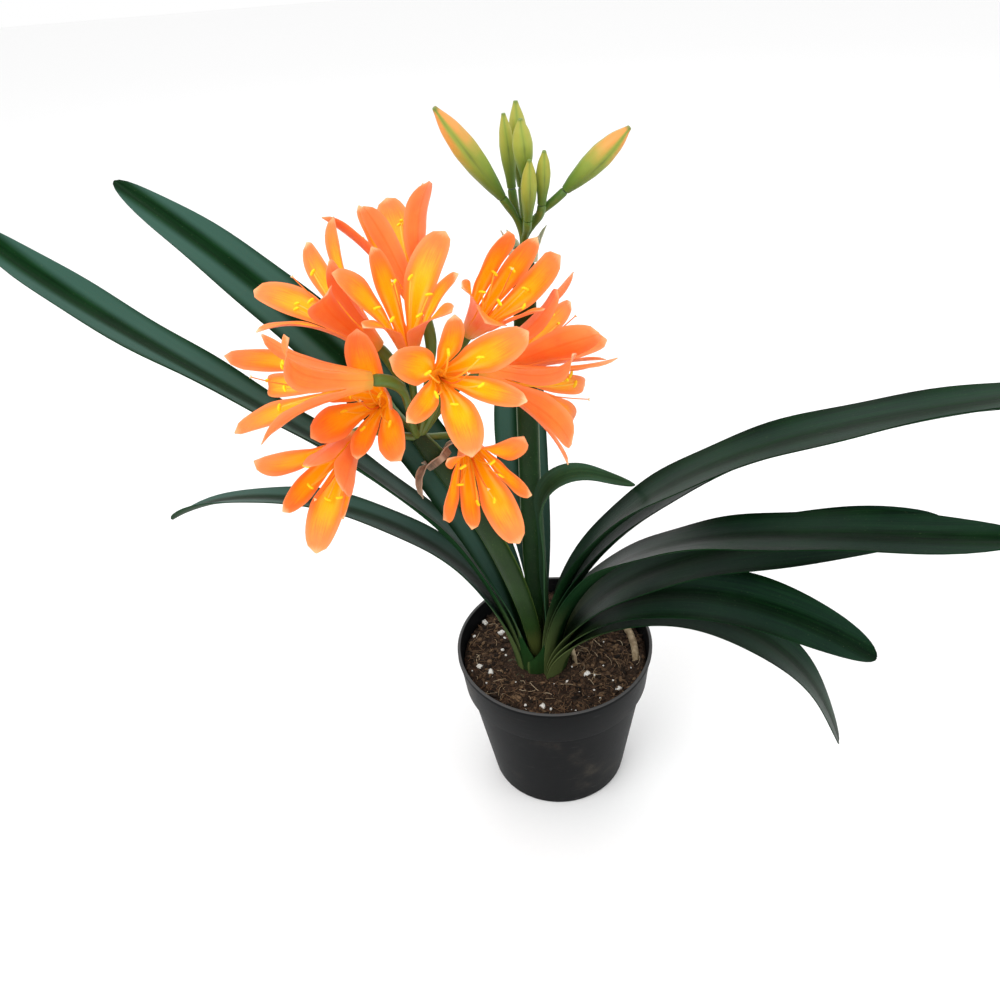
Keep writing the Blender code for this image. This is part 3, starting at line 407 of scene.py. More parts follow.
class Skin:
    """Points with a tag each, and faces with a finish each, gathered for one piece."""

    def __init__(self):
        self.points = []
        self.tags = []
        self.faces = []
        self.finishes = []

    def add(self, points, tags, faces, finish=0):
        start = sum(len(block) for block in self.points)
        self.points.append(np.asarray(points, dtype=float).reshape(-1, 3))
        self.tags.append(np.asarray(tags, dtype=float).reshape(-1, 3))
        self.faces += [tuple(int(i) + start for i in face) for face in faces]
        self.finishes += [finish] * len(faces)

    def plate(self, grid, thickness, tags, finish=0):
        """A closed plate about a grid of points. The third number of each point's tag is the side
        of the plate, and changes sign on the lower side."""
        rows, columns = grid.shape[:2]
        across = np.gradient(grid, axis=1)
        along = np.gradient(grid, axis=0)
        normal = np.cross(across, along)
        length = np.linalg.norm(normal, axis=2, keepdims=True)
        normal = normal / np.maximum(length, 1e-12)
        half = (np.broadcast_to(thickness, (rows, columns)) / 2)[..., None]
        upper = (grid - normal * half).reshape(-1, 3)
        lower = (grid + normal * half).reshape(-1, 3)
        flat = tags.reshape(-1, 3)
        under = flat * np.array([1.0, 1.0, -1.0])
        index = np.arange(rows * columns).reshape(rows, columns)
        a, b, c, d = index[:-1, :-1], index[:-1, 1:], index[1:, 1:], index[1:, :-1]
        quads = np.stack([a, b, c, d], axis=2).reshape(-1, 4)
        rim = np.concatenate([index[0, :], index[1:, -1], index[-1, -2::-1], index[-2:0:-1, 0]])
        shift = rows * columns
        edge = [(p, p + shift, q + shift, q) for p, q in zip(rim, np.roll(rim, -1))]
        faces = [tuple(quad[::-1]) for quad in quads] + [tuple(quad + shift) for quad in quads]
        self.add(np.vstack([upper, lower]), np.vstack([flat, under]),
                 faces + [tuple(face) for face in edge], finish)

    def tube(self, knots, radii, sides, kind=0.0, finish=0, flat=1.0):
        """A round tube with closed ends. Its tags are the turn round it, the share along it, kind."""
        knots = np.asarray([tuple(knot) for knot in knots])
        count = len(knots)
        ahead = np.gradient(knots, axis=0)
        ahead /= np.maximum(np.linalg.norm(ahead, axis=1, keepdims=True), 1e-12)
        side = np.cross(ahead[0], (0.31, 0.77, 0.55))
        points, tags = [], []
        for i in range(count):
            side = side - ahead[i] * np.dot(side, ahead[i])
            side /= np.linalg.norm(side)
            front = np.cross(ahead[i], side)
            for k in range(sides):
                angle = 2 * math.pi * k / sides
                reach = side * math.cos(angle) + front * (math.sin(angle) * flat)
                points.append(knots[i] + reach * radii[i])
                tags.append((k / sides, i / (count - 1), kind))
        self.add(points, tags, tube_faces(count, sides), finish)

    def lump(self, centre, radii, draw, finish=0, rough=0.25, fine=1, kind=0.0):
        """A rough closed lump, turned at random."""
        mesh = bmesh.new()
        bmesh.ops.create_icosphere(mesh, subdivisions=fine, radius=1.0)
        turn = Matrix.Rotation(draw.uniform(0, 6.28), 3, "Z")
        turn = turn @ Matrix.Rotation(draw.uniform(-0.6, 0.6), 3, "X")
        shift = Vector((draw.random(), draw.random(), draw.random())) * 50
        points = []
        for vertex in mesh.verts:
            swell = 1.0 + rough * 2 * noise.noise(vertex.co * 1.3 + shift)
            swell += rough * noise.noise(vertex.co * 3.1 + shift)
            spot = Vector(a * b for a, b in zip(vertex.co * swell, radii))
            points.append(Vector(centre) + turn @ spot)
        faces = [tuple(vertex.index for vertex in face.verts) for face in mesh.faces]
        tint = draw.random()
        self.add([tuple(point) for point in points], [(tint, draw.random(), kind)] * len(points),
                 faces, finish)
        mesh.free()

    def piece(self, name, finishes, slot, *nodes, sharp=50.0):
        data = bpy.data.meshes.new(name)
        data.from_pydata(np.vstack(self.points).tolist(), [], self.faces)
        for finish in finishes:
            data.materials.append(finish)
        data.polygons.foreach_set("material_index", self.finishes)
        tag = data.attributes.new("tag", "FLOAT_VECTOR", "POINT")
        tag.data.foreach_set("vector", np.vstack(self.tags).ravel())
        return shown(name, data, slot, nodes, sharp)


def shown(name, data, slot, nodes, sharp=50.0):
    """Link a mesh as a piece that stands for the CAD nodes."""
    data.polygons.foreach_set("use_smooth", [True] * len(data.polygons))
    data.set_sharp_from_angle(angle=math.radians(sharp))
    data.validate()
    piece = bpy.data.objects.new(name, data)
    bpy.context.scene.collection.objects.link(piece)
    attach(piece, "root")
    if nodes:
        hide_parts(*nodes)
    return piece


# Leaves
def crown_place(x, y, z):
    return (CROWN_X + x, CROWN_Y + y, z)


def slope_share(bend, s):
    """1 at a leaf's foot and 0 at its tip. A pair bends the leaf between two places only."""
    if isinstance(bend, tuple):
        return 1.0 - smooth_step(*bend, s)
    return (1.0 - s) ** bend


def leaf_frames(leaf, count):
    """Rib points of a leaf with its across and inward directions, arc angle and width."""
    s = np.linspace(0.0, 1.0, count)
    rise = np.radians(leaf.tip_rise + (leaf.rise - leaf.tip_rise) * slope_share(leaf.bend, s))
    turn = smooth_step(0.0, 0.35, s)
    heading = np.radians(leaf.fan + (leaf.heading - leaf.fan) * turn + leaf.drift * s ** 2)
    level = np.stack([np.cos(heading), np.sin(heading), 0 * s], axis=1)
    along = level * np.cos(rise)[:, None] + np.array([0, 0, 1.0]) * np.sin(rise)[:, None]
    steps = (along[1:] + along[:-1]) / 2 * leaf.length / (count - 1)
    shell = SHEATH_RADIUS + SHEATH_PITCH * leaf.layer
    fan = math.radians(leaf.fan)
    foot = np.array(crown_place(shell * math.cos(fan), shell * math.sin(fan), LEAF_FOOT))
    rib = np.vstack([foot, foot + np.cumsum(steps, axis=0)])
    side = np.stack([-np.sin(heading), np.cos(heading), 0 * s], axis=1)
    inward = -np.cross(side, along)
    roll = np.radians(leaf.twist * np.sin(np.pi * s) + leaf.tip_twist * s ** 2)
    across = side * np.cos(roll)[:, None] + inward * np.sin(roll)[:, None]
    hollow = inward * np.cos(roll)[:, None] - side * np.sin(roll)[:, None]
    closed = np.exp(-((s * leaf.length / leaf.opening) ** 2))
    half_angle = np.radians(leaf.gutter + (leaf.wrap - leaf.gutter) * closed)
    foot_width = 2 * math.radians(leaf.wrap) * shell
    taper = np.clip((s - leaf.taper) / (1.0 - leaf.taper), 0.0, 1.0)
    narrowing = np.exp(-((s * leaf.length / leaf.opening / 0.9) ** 2))
    width = (leaf.width + (foot_width - leaf.width) * narrowing) * np.sqrt(1.0 - taper ** 2)
    return rib, across, hollow, half_angle, width


def leaf_blade(leaf, thickness):
    """A strap leaf with a sunk rib, thin margins and a faint wave along them."""
    fine = 4
    count = LEAF_FINE_ROWS * fine + 1
    rib, across, hollow, half_angle, width = leaf_frames(leaf, count)
    share = (np.arange(LEAF_FINE_ROWS + 1) / LEAF_FINE_ROWS) ** 1.1
    share[-6:] = 1.0 - (1.0 - share[-7]) * np.linspace(5 / 6, 0.0, 6) ** 1.7
    rows = np.clip(np.round(share * (count - 1)).astype(int), 0, count - 1)
    rows[-1] = count - 1
    u = np.linspace(-1.0, 1.0, LEAF_FINE_COLUMNS + 1)
    wave_phase = leaf.heading * 0.7
    grid = np.zeros((len(rows), len(u), 3))
    tags = np.zeros((len(rows), len(u), 3))
    for k, i in enumerate(rows):
        wide = max(width[i], 0.0008)
        radius = wide / (2 * half_angle[i])
        angle = half_angle[i] * u
        s = i / (count - 1)
        open_share = smooth_step(0.12, 0.4, s)
        wave = 0.0007 * open_share * np.abs(u) ** 3 * math.sin(s * leaf.length * 75 + wave_phase)
        sunk = 0.0005 * open_share * np.exp(-(u / 0.13) ** 2) * min(1.0, wide / 0.02)
        lift = radius * (1 - np.cos(angle)) + wave - sunk
        grid[k] = rib[i] + across[i] * (radius * np.sin(angle))[:, None] + hollow[i] * lift[:, None]
        tags[k, :, 0] = u * wide / 2
        tags[k, :, 1] = s * leaf.length
        tags[k, :, 2] = INNER_FACE
    grid[0, :, 2] = LEAF_FOOT
    profile = thickness * (1.0 - 0.5 * np.abs(u) ** 4)
    return grid, tags, np.broadcast_to(profile, grid.shape[:2])


def leaf_finish(name, dark, light, sheen, glossy):
    """Strap leaf: parallel veins, a paler foot, cloudy tone, a waxy face, and a painted sky reflection in
    bands either side of the rib.
    """
    leaf = Finish(name)
    across, along, face = leaf.tag("tag")
    strap = leaf.join(across, along * 0.03, 0.0)
    vein = leaf.noise(strap, 2600.0, 2.0)
    streak = leaf.noise(strap, 620.0, 3.0)
    cloud = leaf.noise(leaf.place(), 38.0, 4.0)
    speck = leaf.noise(leaf.place(), 900.0, 2.0)
    tone = leaf.between(streak * 0.55 + cloud * 0.45, 0.34, 0.68)
    rib = leaf.between(abs(across), 0.0042, 0.0004)
    # Bands either side of the rib that carry a painted sky reflection on the upper face, not a waxy coat
    bloom = leaf.between(abs(across), 0.003, 0.0085) * leaf.between(abs(across), 0.020, 0.013)
    under = leaf.between(face, 0.2, -0.2)
    hem = leaf.between(along, 0.075, 0.0) * leaf.between(abs(across), 0.0085, 0.0115)
    colour = leaf.coats(
        leaf.mix(tone, dark, light),
        (rib * 0.35, [c * 0.55 for c in dark]),
        # Painted sky reflection: blue-grey sheen in those bands, scaled by sheen
        (bloom * leaf.between(face, 0.0, 0.5) * sheen, (0.050, 0.115, 0.090)),
        (under * 0.35, [c * 1.5 + 0.006 for c in light]),
        (leaf.between(along, 0.045, 0.0) * 0.30, (0.055, 0.095, 0.018)),
        (hem * 0.35, (0.22, 0.26, 0.09)),
        (leaf.between(speck, 0.66, 0.78) * 0.25, (0.12, 0.15, 0.07)),
    )
    rough = 0.24 + 0.16 * streak + 0.10 * cloud + under * 0.12 + (1.0 - glossy) * 0.25
    height = vein * 0.55 + streak * 0.35 + speck * 0.1
    return leaf.surface(colour, rough, height, 0.00016, Specular_IOR_Level=0.015 + 0.03 * glossy,
                        Specular_Tint=(0.45, 0.85, 0.68, 1.0))


def sheath_wrap(skin, sheath):
    """A short old leaf base that wraps the front of the plant's foot, with a slanted upper edge."""
    rows, columns = 18, 26
    grid, tags = [], []
    centre = np.array(crown_place(0.0, 0.0, LEAF_FOOT + SHEATH_LIFT))
    for i in range(rows + 1):
        line, marks = [], []
        for k in range(columns + 1):
            share = k / columns
            heading = math.radians(sheath.start + (sheath.end - sheath.start) * share)
            height = sheath.start_height + (sheath.end_height - sheath.start_height) * share ** 1.3
            rise = height * i / rows
            reach = sheath.radius + 0.0016 * math.sin(math.pi * i / rows) * 0.4
            line.append(centre + np.array([math.cos(heading) * reach, math.sin(heading) * reach, rise]))
            marks.append(((share - 0.5) * 0.024, 0.012 + rise * 0.8, INNER_FACE))
        grid.append(line)
        tags.append(marks)
    skin.plate(np.array(grid), 0.0007, np.array(tags))


# Flowers
def bloom_axes(bloom):
    """The bloom's foot, its axis and two directions across it."""
    heading, rise = math.radians(bloom.heading), math.radians(bloom.rise)
    axis = Vector((math.cos(rise) * math.cos(heading), math.cos(rise) * math.sin(heading),
                   math.sin(rise)))
    first = Vector((0, 0, 1)).cross(axis).normalized()
    second = axis.cross(first)
    return Vector(bloom.foot), axis, first, second


def tepal_width(t, inner):
    """Width of a tepal, t from 0 at the throat to 1 at the tip."""
    widest = INNER_WIDTH if inner else OUTER_WIDTH
    foot = 0.42 if inner else 0.55
    swell = foot + (1 - foot) * math.sin(math.pi / 2 * min(t / WIDEST_AT, 1.0)) ** 1.6
    taper = max(0.0, t - WIDEST_AT) / (1 - WIDEST_AT)
    return widest * swell * math.sqrt(max(0.0, 1 - taper ** 2.2))


def tepal_rib(spread, length, count):
    """Radius, height along the axis and slope of a tepal's rib, from throat to tip."""
    t = np.linspace(0.0, 1.0, count)
    slope = np.radians(THROAT_ANGLE + (spread - THROAT_ANGLE) * t ** 1.5)
    step = length / (count - 1)
    out, up = np.sin(slope), np.cos(slope)
    radius = TUBE_MOUTH_RADIUS + np.concatenate([[0], np.cumsum((out[1:] + out[:-1]) / 2 * step)])
    height = TUBE_LENGTH + np.concatenate([[0], np.cumsum((up[1:] + up[:-1]) / 2 * step)])
    return radius, height, slope


def tepal(bloom, j, ripple):
    """One tepal with its share of the tube, as a grid with tags and thickness."""
    foot, axis, first, second = (np.array(part) for part in bloom_axes(bloom))
    inner = j % 2 == 0
    kind = INNER_FACE if inner else OUTER_TEPAL_TAG
    length = INNER_LENGTH if inner else OUTER_LENGTH
    steps = TEPAL_FINE_ROWS * 2
    radius, height, slope = tepal_rib(bloom.spreads[j], length, steps + 1)
    u = np.linspace(-1.0, 1.0, TEPAL_FINE_COLUMNS + 1)
    start = math.radians(bloom.turn + 60 * j)
    grid, tags, thick = [], [], []
    for row in range(TUBE_FINE_ROWS + 1):
        share = row / TUBE_FINE_ROWS
        reach = TUBE_FOOT_RADIUS + (TUBE_MOUTH_RADIUS - TUBE_FOOT_RADIUS) * share
        grid.append([foot + axis * (TUBE_LENGTH * share)
                     + around(first, second, start + math.radians(30) * v) * reach for v in u])
        tags.append([(v, (share - 1) * 0.3, kind) for v in u])
        thick.append([TEPAL_THICKNESS] * len(u))
    phase = 1.7 * j + bloom.turn
    for row in range(1, TEPAL_FINE_ROWS + 1):
        i = row * 2
        t = row / TEPAL_FINE_ROWS
        angle = math.radians(bloom.turn + 60 * j + bloom.sways[j] * t)
        out = around(first, second, angle)
        side = around(first, second, angle + math.pi / 2)
        back = out * math.cos(slope[i]) - axis * math.sin(slope[i])
        rib = foot + out * radius[i] + axis * height[i]
        width = max(tepal_width(t, inner), 0.0007)
        points = []
        for v in u:
            neighbour = bloom.sways[(j + (1 if v > 0 else -1)) % 6]
            bound = math.radians(30 + abs(v) / (v or 1) * (neighbour - bloom.sways[j]) * t / 2)
            room = max(radius[i], TUBE_MOUTH_RADIUS) * math.tan(min(bound, 1.3))
            room -= TEPAL_MARGIN * min(1.0, t * 5)
            reach = min(width / 2, room) * v
            edge = abs(v) ** 2.5 * smooth_step(0.15, 0.6, t)
            wave = ripple * edge * math.sin(t * 13 + phase + 1.2 * v) * (1.0 - 0.5 * t)
            keel = 0.0005 * math.exp(-(v / 0.16) ** 2) * (1 - t)
            points.append(rib + side * reach - back * (TEPAL_ARCH * width * v * v + wave - keel))
        grid.append(points)
        tags.append([(v, t, kind) for v in u])
        thick.append([TEPAL_THICKNESS * (1.0 - 0.55 * abs(v) ** 3) * (1.0 - 0.3 * t) for v in u])
    return np.array(grid), np.array(tags), np.array(thick)


def tube_floor(skin, bloom):
    """The closed foot of the flower's tube."""
    foot, axis, first, second = (np.array(part) for part in bloom_axes(bloom))
    steps = 36
    points, faces = [foot + axis * 0.0005, foot - axis * 0.0002], []
    for lift in (0.0006, 0.0):
        for k in range(steps):
            out = around(first, second, 2 * math.pi * k / steps)
            points.append(foot + axis * lift + out * (TUBE_FOOT_RADIUS + 0.0001))
    for k in range(steps):
        a, b = 2 + k, 2 + (k + 1) % steps
        faces += [(0, a, b), (1, b + steps, a + steps), (a, a + steps, b + steps, b)]
    skin.add(points, [(0.0, -0.2, INNER_FACE)] * len(points), faces)


def petal_finish(flesh, deep, blush, throat):
    """Petal: golden throat between cream streaks, orange flesh with fine veins, pale tip, and a painted glow
    in the throat that stands in for light through the petals.
    """
    petal = Finish("petal_orange")
    across, along, face = petal.tag("tag")
    inside = petal.between(face, -0.3, 0.3)
    narrow = petal.between(abs(face), 1.3, 1.7)
    veined = petal.join(across * 0.6, along * 0.10, face * 0.3)
    vein = petal.noise(veined, 34.0, 3.0)
    cloud = petal.noise(petal.place(), 85.0, 3.0)
    grain = petal.noise(petal.place(), 2300.0, 1.0)
    nerve = petal.noise(petal.join(across * 1.5, along * 0.06, face * 0.3), 30.0, 2.0)
    edge = petal.between(abs(across) + 0.25 * cloud, 0.72, 1.12)
    streak = petal.between(abs(across), 0.92, 0.28) * petal.between(along + 0.30 * vein, 1.08, 0.56)
    cream = petal.between(abs(abs(across) - 0.50), 0.24, 0.05) * petal.between(along, 0.62, 0.10)
    outside = 1.0 - inside
    rib_line = petal.between(abs(across), 0.14, 0.02) * outside
    colour = petal.coats(
        petal.mix(petal.between(cloud * 0.6 + vein * 0.4, 0.38, 0.66), flesh, deep),
        (petal.between(nerve, 0.56, 0.70) * 0.40, deep),
        (edge * 0.75, blush),
        (petal.between(along, 0.62, 1.0) * 0.45, blush),
        (petal.between(along + 0.10 * vein, 0.97, 1.06) * (0.45 + 0.4 * narrow), (0.93, 0.74, 0.42)),
        (streak * inside * 0.98, throat),
        (cream * inside * 0.72, (1.0, 0.72, 0.26)),
        (outside * (0.30 + 0.25 * narrow), blush),
        (outside * petal.between(along, 0.20, -0.28) * 0.85, (0.90, 0.42, 0.06)),
        (outside * petal.between(along, -0.12, -0.30) * 0.6, (0.42, 0.36, 0.05)),
        (rib_line * 0.35, deep),
    )
    height = vein * 0.45 + nerve * 0.35 + grain * 0.2
    # Painted light: the throat's inner faces emit an orange-yellow glow in place of light shining through the
    # petals
    painted_throat_glow = petal.mix(inside * petal.between(along, 0.60, 0.05), (0.55, 0.110, 0.005), (1.0, 0.42, 0.004))
    petal.tree.links.new(painted_throat_glow.socket, petal.shader.inputs["Emission Color"])
    return petal.surface(colour, 0.40 + 0.14 * cloud, height, 0.00034, Subsurface_Weight=0.12,
                         Subsurface_Scale=0.003, Emission_Strength=0.20, Specular_IOR_Level=0.35)


def inside_bloom(bloom, offset, height, clear, first, second):
    """Draw an offset from the bloom's axis back until it is clear of tube and tepals."""
    share = 1.0
    for j in range(6):
        inner = j % 2 == 0
        radius, rib_height, _ = tepal_rib(bloom.spreads[j], INNER_LENGTH if inner else OUTER_LENGTH, 25)
        top = int(np.argmax(rib_height))
        if height > rib_height[top]:
            continue
        if height < TUBE_LENGTH:
            room = TUBE_FOOT_RADIUS + (TUBE_MOUTH_RADIUS - TUBE_FOOT_RADIUS) * height / TUBE_LENGTH
        else:
            room = float(np.interp(height, rib_height[:top + 1], radius[:top + 1]))
        sway = bloom.sways[j] * max(0.0, height - TUBE_LENGTH) / INNER_LENGTH
        outward = offset.dot(around(first, second, math.radians(bloom.turn + 60 * j + sway)))
        if outward > room - clear:
            share = min(share, (room - clear) / outward)
    return offset * share


def spline(knots, count):
    """A smooth line through three knots."""
    a, b, c = (np.array(tuple(knot)) for knot in knots)
    middle = 2 * b - (a + c) / 2
    t = np.linspace(0.0, 1.0, count)[:, None]
    return a * (1 - t) ** 2 + middle * 2 * t * (1 - t) + c * t ** 2


def flower_heart(skin, bloom, seed):
    """Six filaments with their anthers and one longer style with a split stigma."""
    foot, axis, first, second = bloom_axes(bloom)
    draw = random.Random(seed)
    down = Vector((0, 0, -1))
    down -= axis * down.dot(axis)
    disc_foot = TEPAL_THICKNESS / 2 + GAP
    root = foot + axis * (disc_foot + STAMEN_DISC_HEIGHT / 2)
    low = foot + axis * disc_foot
    high = low + axis * STAMEN_DISC_HEIGHT
    skin.tube([low, low.lerp(high, 0.5), high], [STAMEN_DISC_RADIUS * 0.9, STAMEN_DISC_RADIUS,
                                                 STAMEN_DISC_RADIUS * 0.7], 16, 0.0, 0)
    for i in range(FILAMENT_COUNT + 1):
        style = i == FILAMENT_COUNT
        angle = math.radians(bloom.turn + 60 * i + draw.uniform(-12, 12))
        lean = STYLE_LEAN if style else FILAMENT_LEAN * draw.uniform(0.75, 1.15)
        length = STYLE_LENGTH if style else FILAMENT_LENGTH * draw.uniform(0.88, 1.04)
        out = around(first, second, angle)
        inset = 0.0 if style else STAMEN_DISC_RADIUS * 0.55
        knots = []
        for t in (0.0, 0.45, 1.0):
            sway = out * (inset + lean * t ** 1.6) + down * (STAMEN_DROOP * math.sin(math.pi * t))
            height = (root - foot).dot(axis) + length * t
            clear = STAMEN_CLEARANCE + ANTHER_CLEARANCE * t
            knots.append(root + axis * (length * t)
                         + inside_bloom(bloom, sway, height, clear, first, second))
        line = spline(knots, 14)
        girth = FILAMENT_RADIUS * np.linspace(1.25, 0.62, 14) * (0.85 if style else 1.0)
        skin.tube(line, girth, 8, 0.0, 2 if style else 0)
        tip = Vector(line[-1])
        ahead = (tip - Vector(line[-2])).normalized()
        if style:
            for k in range(3):
                spin = Matrix.Rotation(math.radians(120 * k), 3, ahead)
                lobe = (spin @ first + ahead).normalized() * 0.0013
                skin.tube([tip, tip + lobe * 0.6, tip + lobe], [0.00042, 0.00036, 0.00016], 6, 0.0, 3)
            continue
        spin = Matrix.Rotation(math.radians(draw.uniform(0, 180)), 3, axis)
        lie = spin @ first
        share = np.linspace(-1.0, 1.0, 11)
        bow = 0.0005
        ridge = [tip + lie * (ANTHER_HALF_LENGTH * 0.98 * s) + ahead * (bow * (1 - s * s) - bow * 0.3)
                 for s in share]
        girth = ANTHER_RADIUS * np.sqrt(np.maximum(0.02, 1 - share ** 4))
        skin.tube(ridge, girth, 10, 1.0, 1, 0.85)


def heart_finishes():
    """The filaments, the pollen on the anthers, the style and its stigma."""
    filament = Finish("stamen_yellow")
    _, along, _ = filament.tag("tag")
    colour = filament.mix(along, (1.0, 0.62, 0.06), (1.0, 0.70, 0.10))
    stripe = filament.noise(filament.place(), 700.0, 2.0)
    filament.surface(colour, 0.45 + 0.1 * stripe, stripe, 0.00005)
    anther = Finish("pollen_yellow")
    grain = anther.noise(anther.place(), 5200.0, 2.0)
    dust = anther.noise(anther.place(), 900.0, 2.0)
    colour = anther.mix(anther.between(dust, 0.35, 0.65), (1.0, 0.80, 0.010), (1.0, 0.66, 0.006))
    anther.surface(colour, 0.85, grain, 0.00012)
    style = Finish("style_red")
    tone = style.noise(style.place(), 260.0, 2.0)
    style.surface(style.mix(tone, (0.86, 0.17, 0.03), (0.90, 0.33, 0.05)), 0.42)
    stigma = Finish("stigma_pale")
    tone = stigma.noise(stigma.place(), 1500.0, 2.0)
    stigma.surface(stigma.mix(tone, (0.95, 0.72, 0.40), (0.85, 0.50, 0.22)), 0.6)
    return [finish.material for finish in (filament, anther, style, stigma)]


# Stalks
def curve_points(start, control_a, control_b, end, count):
    """Points along a cubic curve."""
    points = []
    for i in range(count):
        t = i / (count - 1)
        points.append(start * (1 - t) ** 3 + control_a * 3 * t * (1 - t) ** 2
                      + control_b * 3 * t ** 2 * (1 - t) + end * t ** 3)
    return points


def scape(skin, stalk):
    """The flattened stalk, two-edged as it grows, with its peg in the crown."""
    foot = Vector(crown_place(*stalk.foot, CROWN_TOP))
    start, middle, top = Vector(stalk.start), Vector(stalk.middle), Vector(stalk.top)
    rise = curve_points(start, start.lerp(middle, 2 / 3), top.lerp(middle, 2 / 3), top, 57)
    sides = 28
    points, tags = [], []
    path = [foot - Vector((0, 0, PEG_DEPTH)), foot] + rise
    last = len(path) - 1
    for i, point in enumerate(path):
        ahead = path[min(i + 1, last)] - path[max(i - 1, 0)]
        if i < 2:
            ahead = Vector((0, 0, 1))
        side = Vector((0, 1, 0)).cross(ahead).normalized()
        front = ahead.cross(side).normalized()
        share = max(0, i - 2) / (last - 2)
        grow = PEG_SHARE + (1 - PEG_SHARE) * min(1.0, share * 3)
        if share > 0.94:
            grow *= 1.0 - (1.0 - KNOB_SHARE) * (share - 0.94) / 0.06
        for k in range(sides):
            angle = 2 * math.pi * k / sides
            flat = math.copysign(abs(math.cos(angle)) ** 0.9, math.cos(angle))
            reach = side * (stalk.half_width * grow * flat)
            reach += front * (stalk.half_depth * grow * math.sin(angle))
            points.append(point + reach)
            tags.append((flat, share, 0.0))
    skin.add([tuple(point) for point in points], tags, tube_faces(len(path), sides))


def pedicel(skin, start, up, foot, axis, girth, ovary):
    """A flower stem with the ovary swollen at its end, seated just under the flower."""
    end = foot - axis * (TEPAL_THICKNESS / 2 + GAP)
    neck = end - axis * ovary * 0.5
    reach = (neck - start).length
    leave = start + up * (reach * 0.35)
    points = curve_points(start, leave, neck - axis * reach * 0.35, neck, 22) + [end]
    radii = []
    for i in range(len(points)):
        t = min(1.0, i / 21)
        swell = smooth_step(0.55, 0.86, t)
        radii.append(girth * (1.15 - 0.15 * min(1.0, t * 5)) * (1 - swell) + ovary * swell)
    radii[-1] = ovary * 0.85
    skin.tube(points, radii, 14, 1.0, 1)


def stalk_finishes(name, green, edge):
    """The stalk with fine ribs, scattered pale dots and its two paler edges, and its flower stems."""
    stalk = Finish(name)
    flat, along, _ = stalk.tag("tag")
    place = stalk.place()
    ribbed = stalk.join(flat, along * 0.4, 0.0)
    rib = stalk.noise(ribbed, 26.0, 3.0)
    cloud = stalk.noise(place, 55.0, 3.0)
    dots = stalk.noise(place, 1300.0, 1.0)
    colour = stalk.coats(
        stalk.mix(stalk.between(cloud, 0.3, 0.7), green, [c * 1.4 for c in green]),
        (stalk.between(abs(flat), 0.88, 0.99) * 0.75, edge),
        (stalk.between(dots, 0.66, 0.76) * 0.3, edge),
        (stalk.between(along, 0.10, 0.0) * 0.5, (0.075, 0.080, 0.020)),
    )
    stalk.surface(colour, 0.34 + 0.15 * rib, rib * 0.8 + dots * 0.2, 0.00018, Specular_IOR_Level=0.20)
    stem = Finish(name + "_stem")
    _, along, _ = stem.tag("tag")
    cloud = stem.noise(stem.place(), 120.0, 3.0)
    rib = stem.noise(stem.place(), 900.0, 2.0)
    colour = stem.mix(stem.between(along, 0.0, 0.85), (0.085, 0.145, 0.020), (0.075, 0.165, 0.018))
    colour = stem.mix(stem.between(cloud, 0.5, 0.72) * 0.5, colour, (0.17, 0.20, 0.035))
    stem.surface(colour, 0.40 + 0.1 * rib, rib, 0.00010)
    return [stalk.material, stem.material]


# Buds and bracts
def bud_skin(skin, bud):
    """A closed bud with six seams, three of them deeper."""
    foot, tip = Vector(bud.foot), Vector(bud.tip)
    axis = (tip - foot).normalized()
    side = axis.cross(Vector((0.2, 0.9, 0.1))).normalized()
    front = axis.cross(side)
    sides, rows = 36, 36
    shares = [place for place, _ in BUD_SHAPE]
    girths = [max(bud.radius * girth, BUD_TIP_RADIUS) for _, girth in BUD_SHAPE]
    girths[0] = BUD_FOOT_RADIUS
    points, tags = [], []
    for i in range(rows + 1):
        t = i / rows
        radius = float(np.interp(t, shares, girths))
        before = float(np.interp(max(0, t - 0.05), shares, girths))
        after = float(np.interp(min(1, t + 0.05), shares, girths))
        radius = 0.5 * radius + 0.25 * (before + after)
        for k in range(sides):
            angle = 2 * math.pi * k / sides
            seam = abs(math.sin(1.5 * angle + 0.5 * t)) ** 0.5
            seam2 = abs(math.sin(3 * angle + 0.5 * t)) ** 0.6
            depth = smooth_step(0.08, 0.3, t)
            reach = radius * (1 - depth * (0.09 * (1 - seam) + 0.03 * (1 - seam2)))
            points.append(foot.lerp(tip, t) + side * (reach * math.cos(angle))
                          + front * (reach * math.sin(angle)))
            tags.append((seam, t, bud.radius * 100))
    skin.add([tuple(point) for point in points], tags, tube_faces(rows + 1, sides))


def bud_finish(name, blush):
    """Bud: yellow-green, darker in its seams, flushed with peach on the larger ones."""
    bud = Finish(name)
    seam, along, _ = bud.tag("tag")
    place = bud.place()
    cloud = bud.noise(place, 90.0, 3.0)
    vein = bud.noise(bud.join(seam, along * 0.12, 0.0), 40.0, 2.0)
    flush = bud.between(along + 0.35 * cloud, 0.55, 1.05) * blush * bud.between(seam, 0.45, 0.9)
    colour = bud.coats(
        bud.mix(bud.between(along + 0.2 * cloud, 0.1, 0.8), (0.085, 0.180, 0.018), (0.31, 0.38, 0.050)),
        (flush, (0.85, 0.30, 0.07)),
        (bud.between(seam, 0.55, 0.1) * 0.55, (0.10, 0.15, 0.03)),
        (bud.between(along, 0.95, 1.0) * 0.8, (0.13, 0.22, 0.04)),
    )
    return bud.surface(colour, 0.38 + 0.14 * cloud, vein, 0.00018, Specular_IOR_Level=0.4)


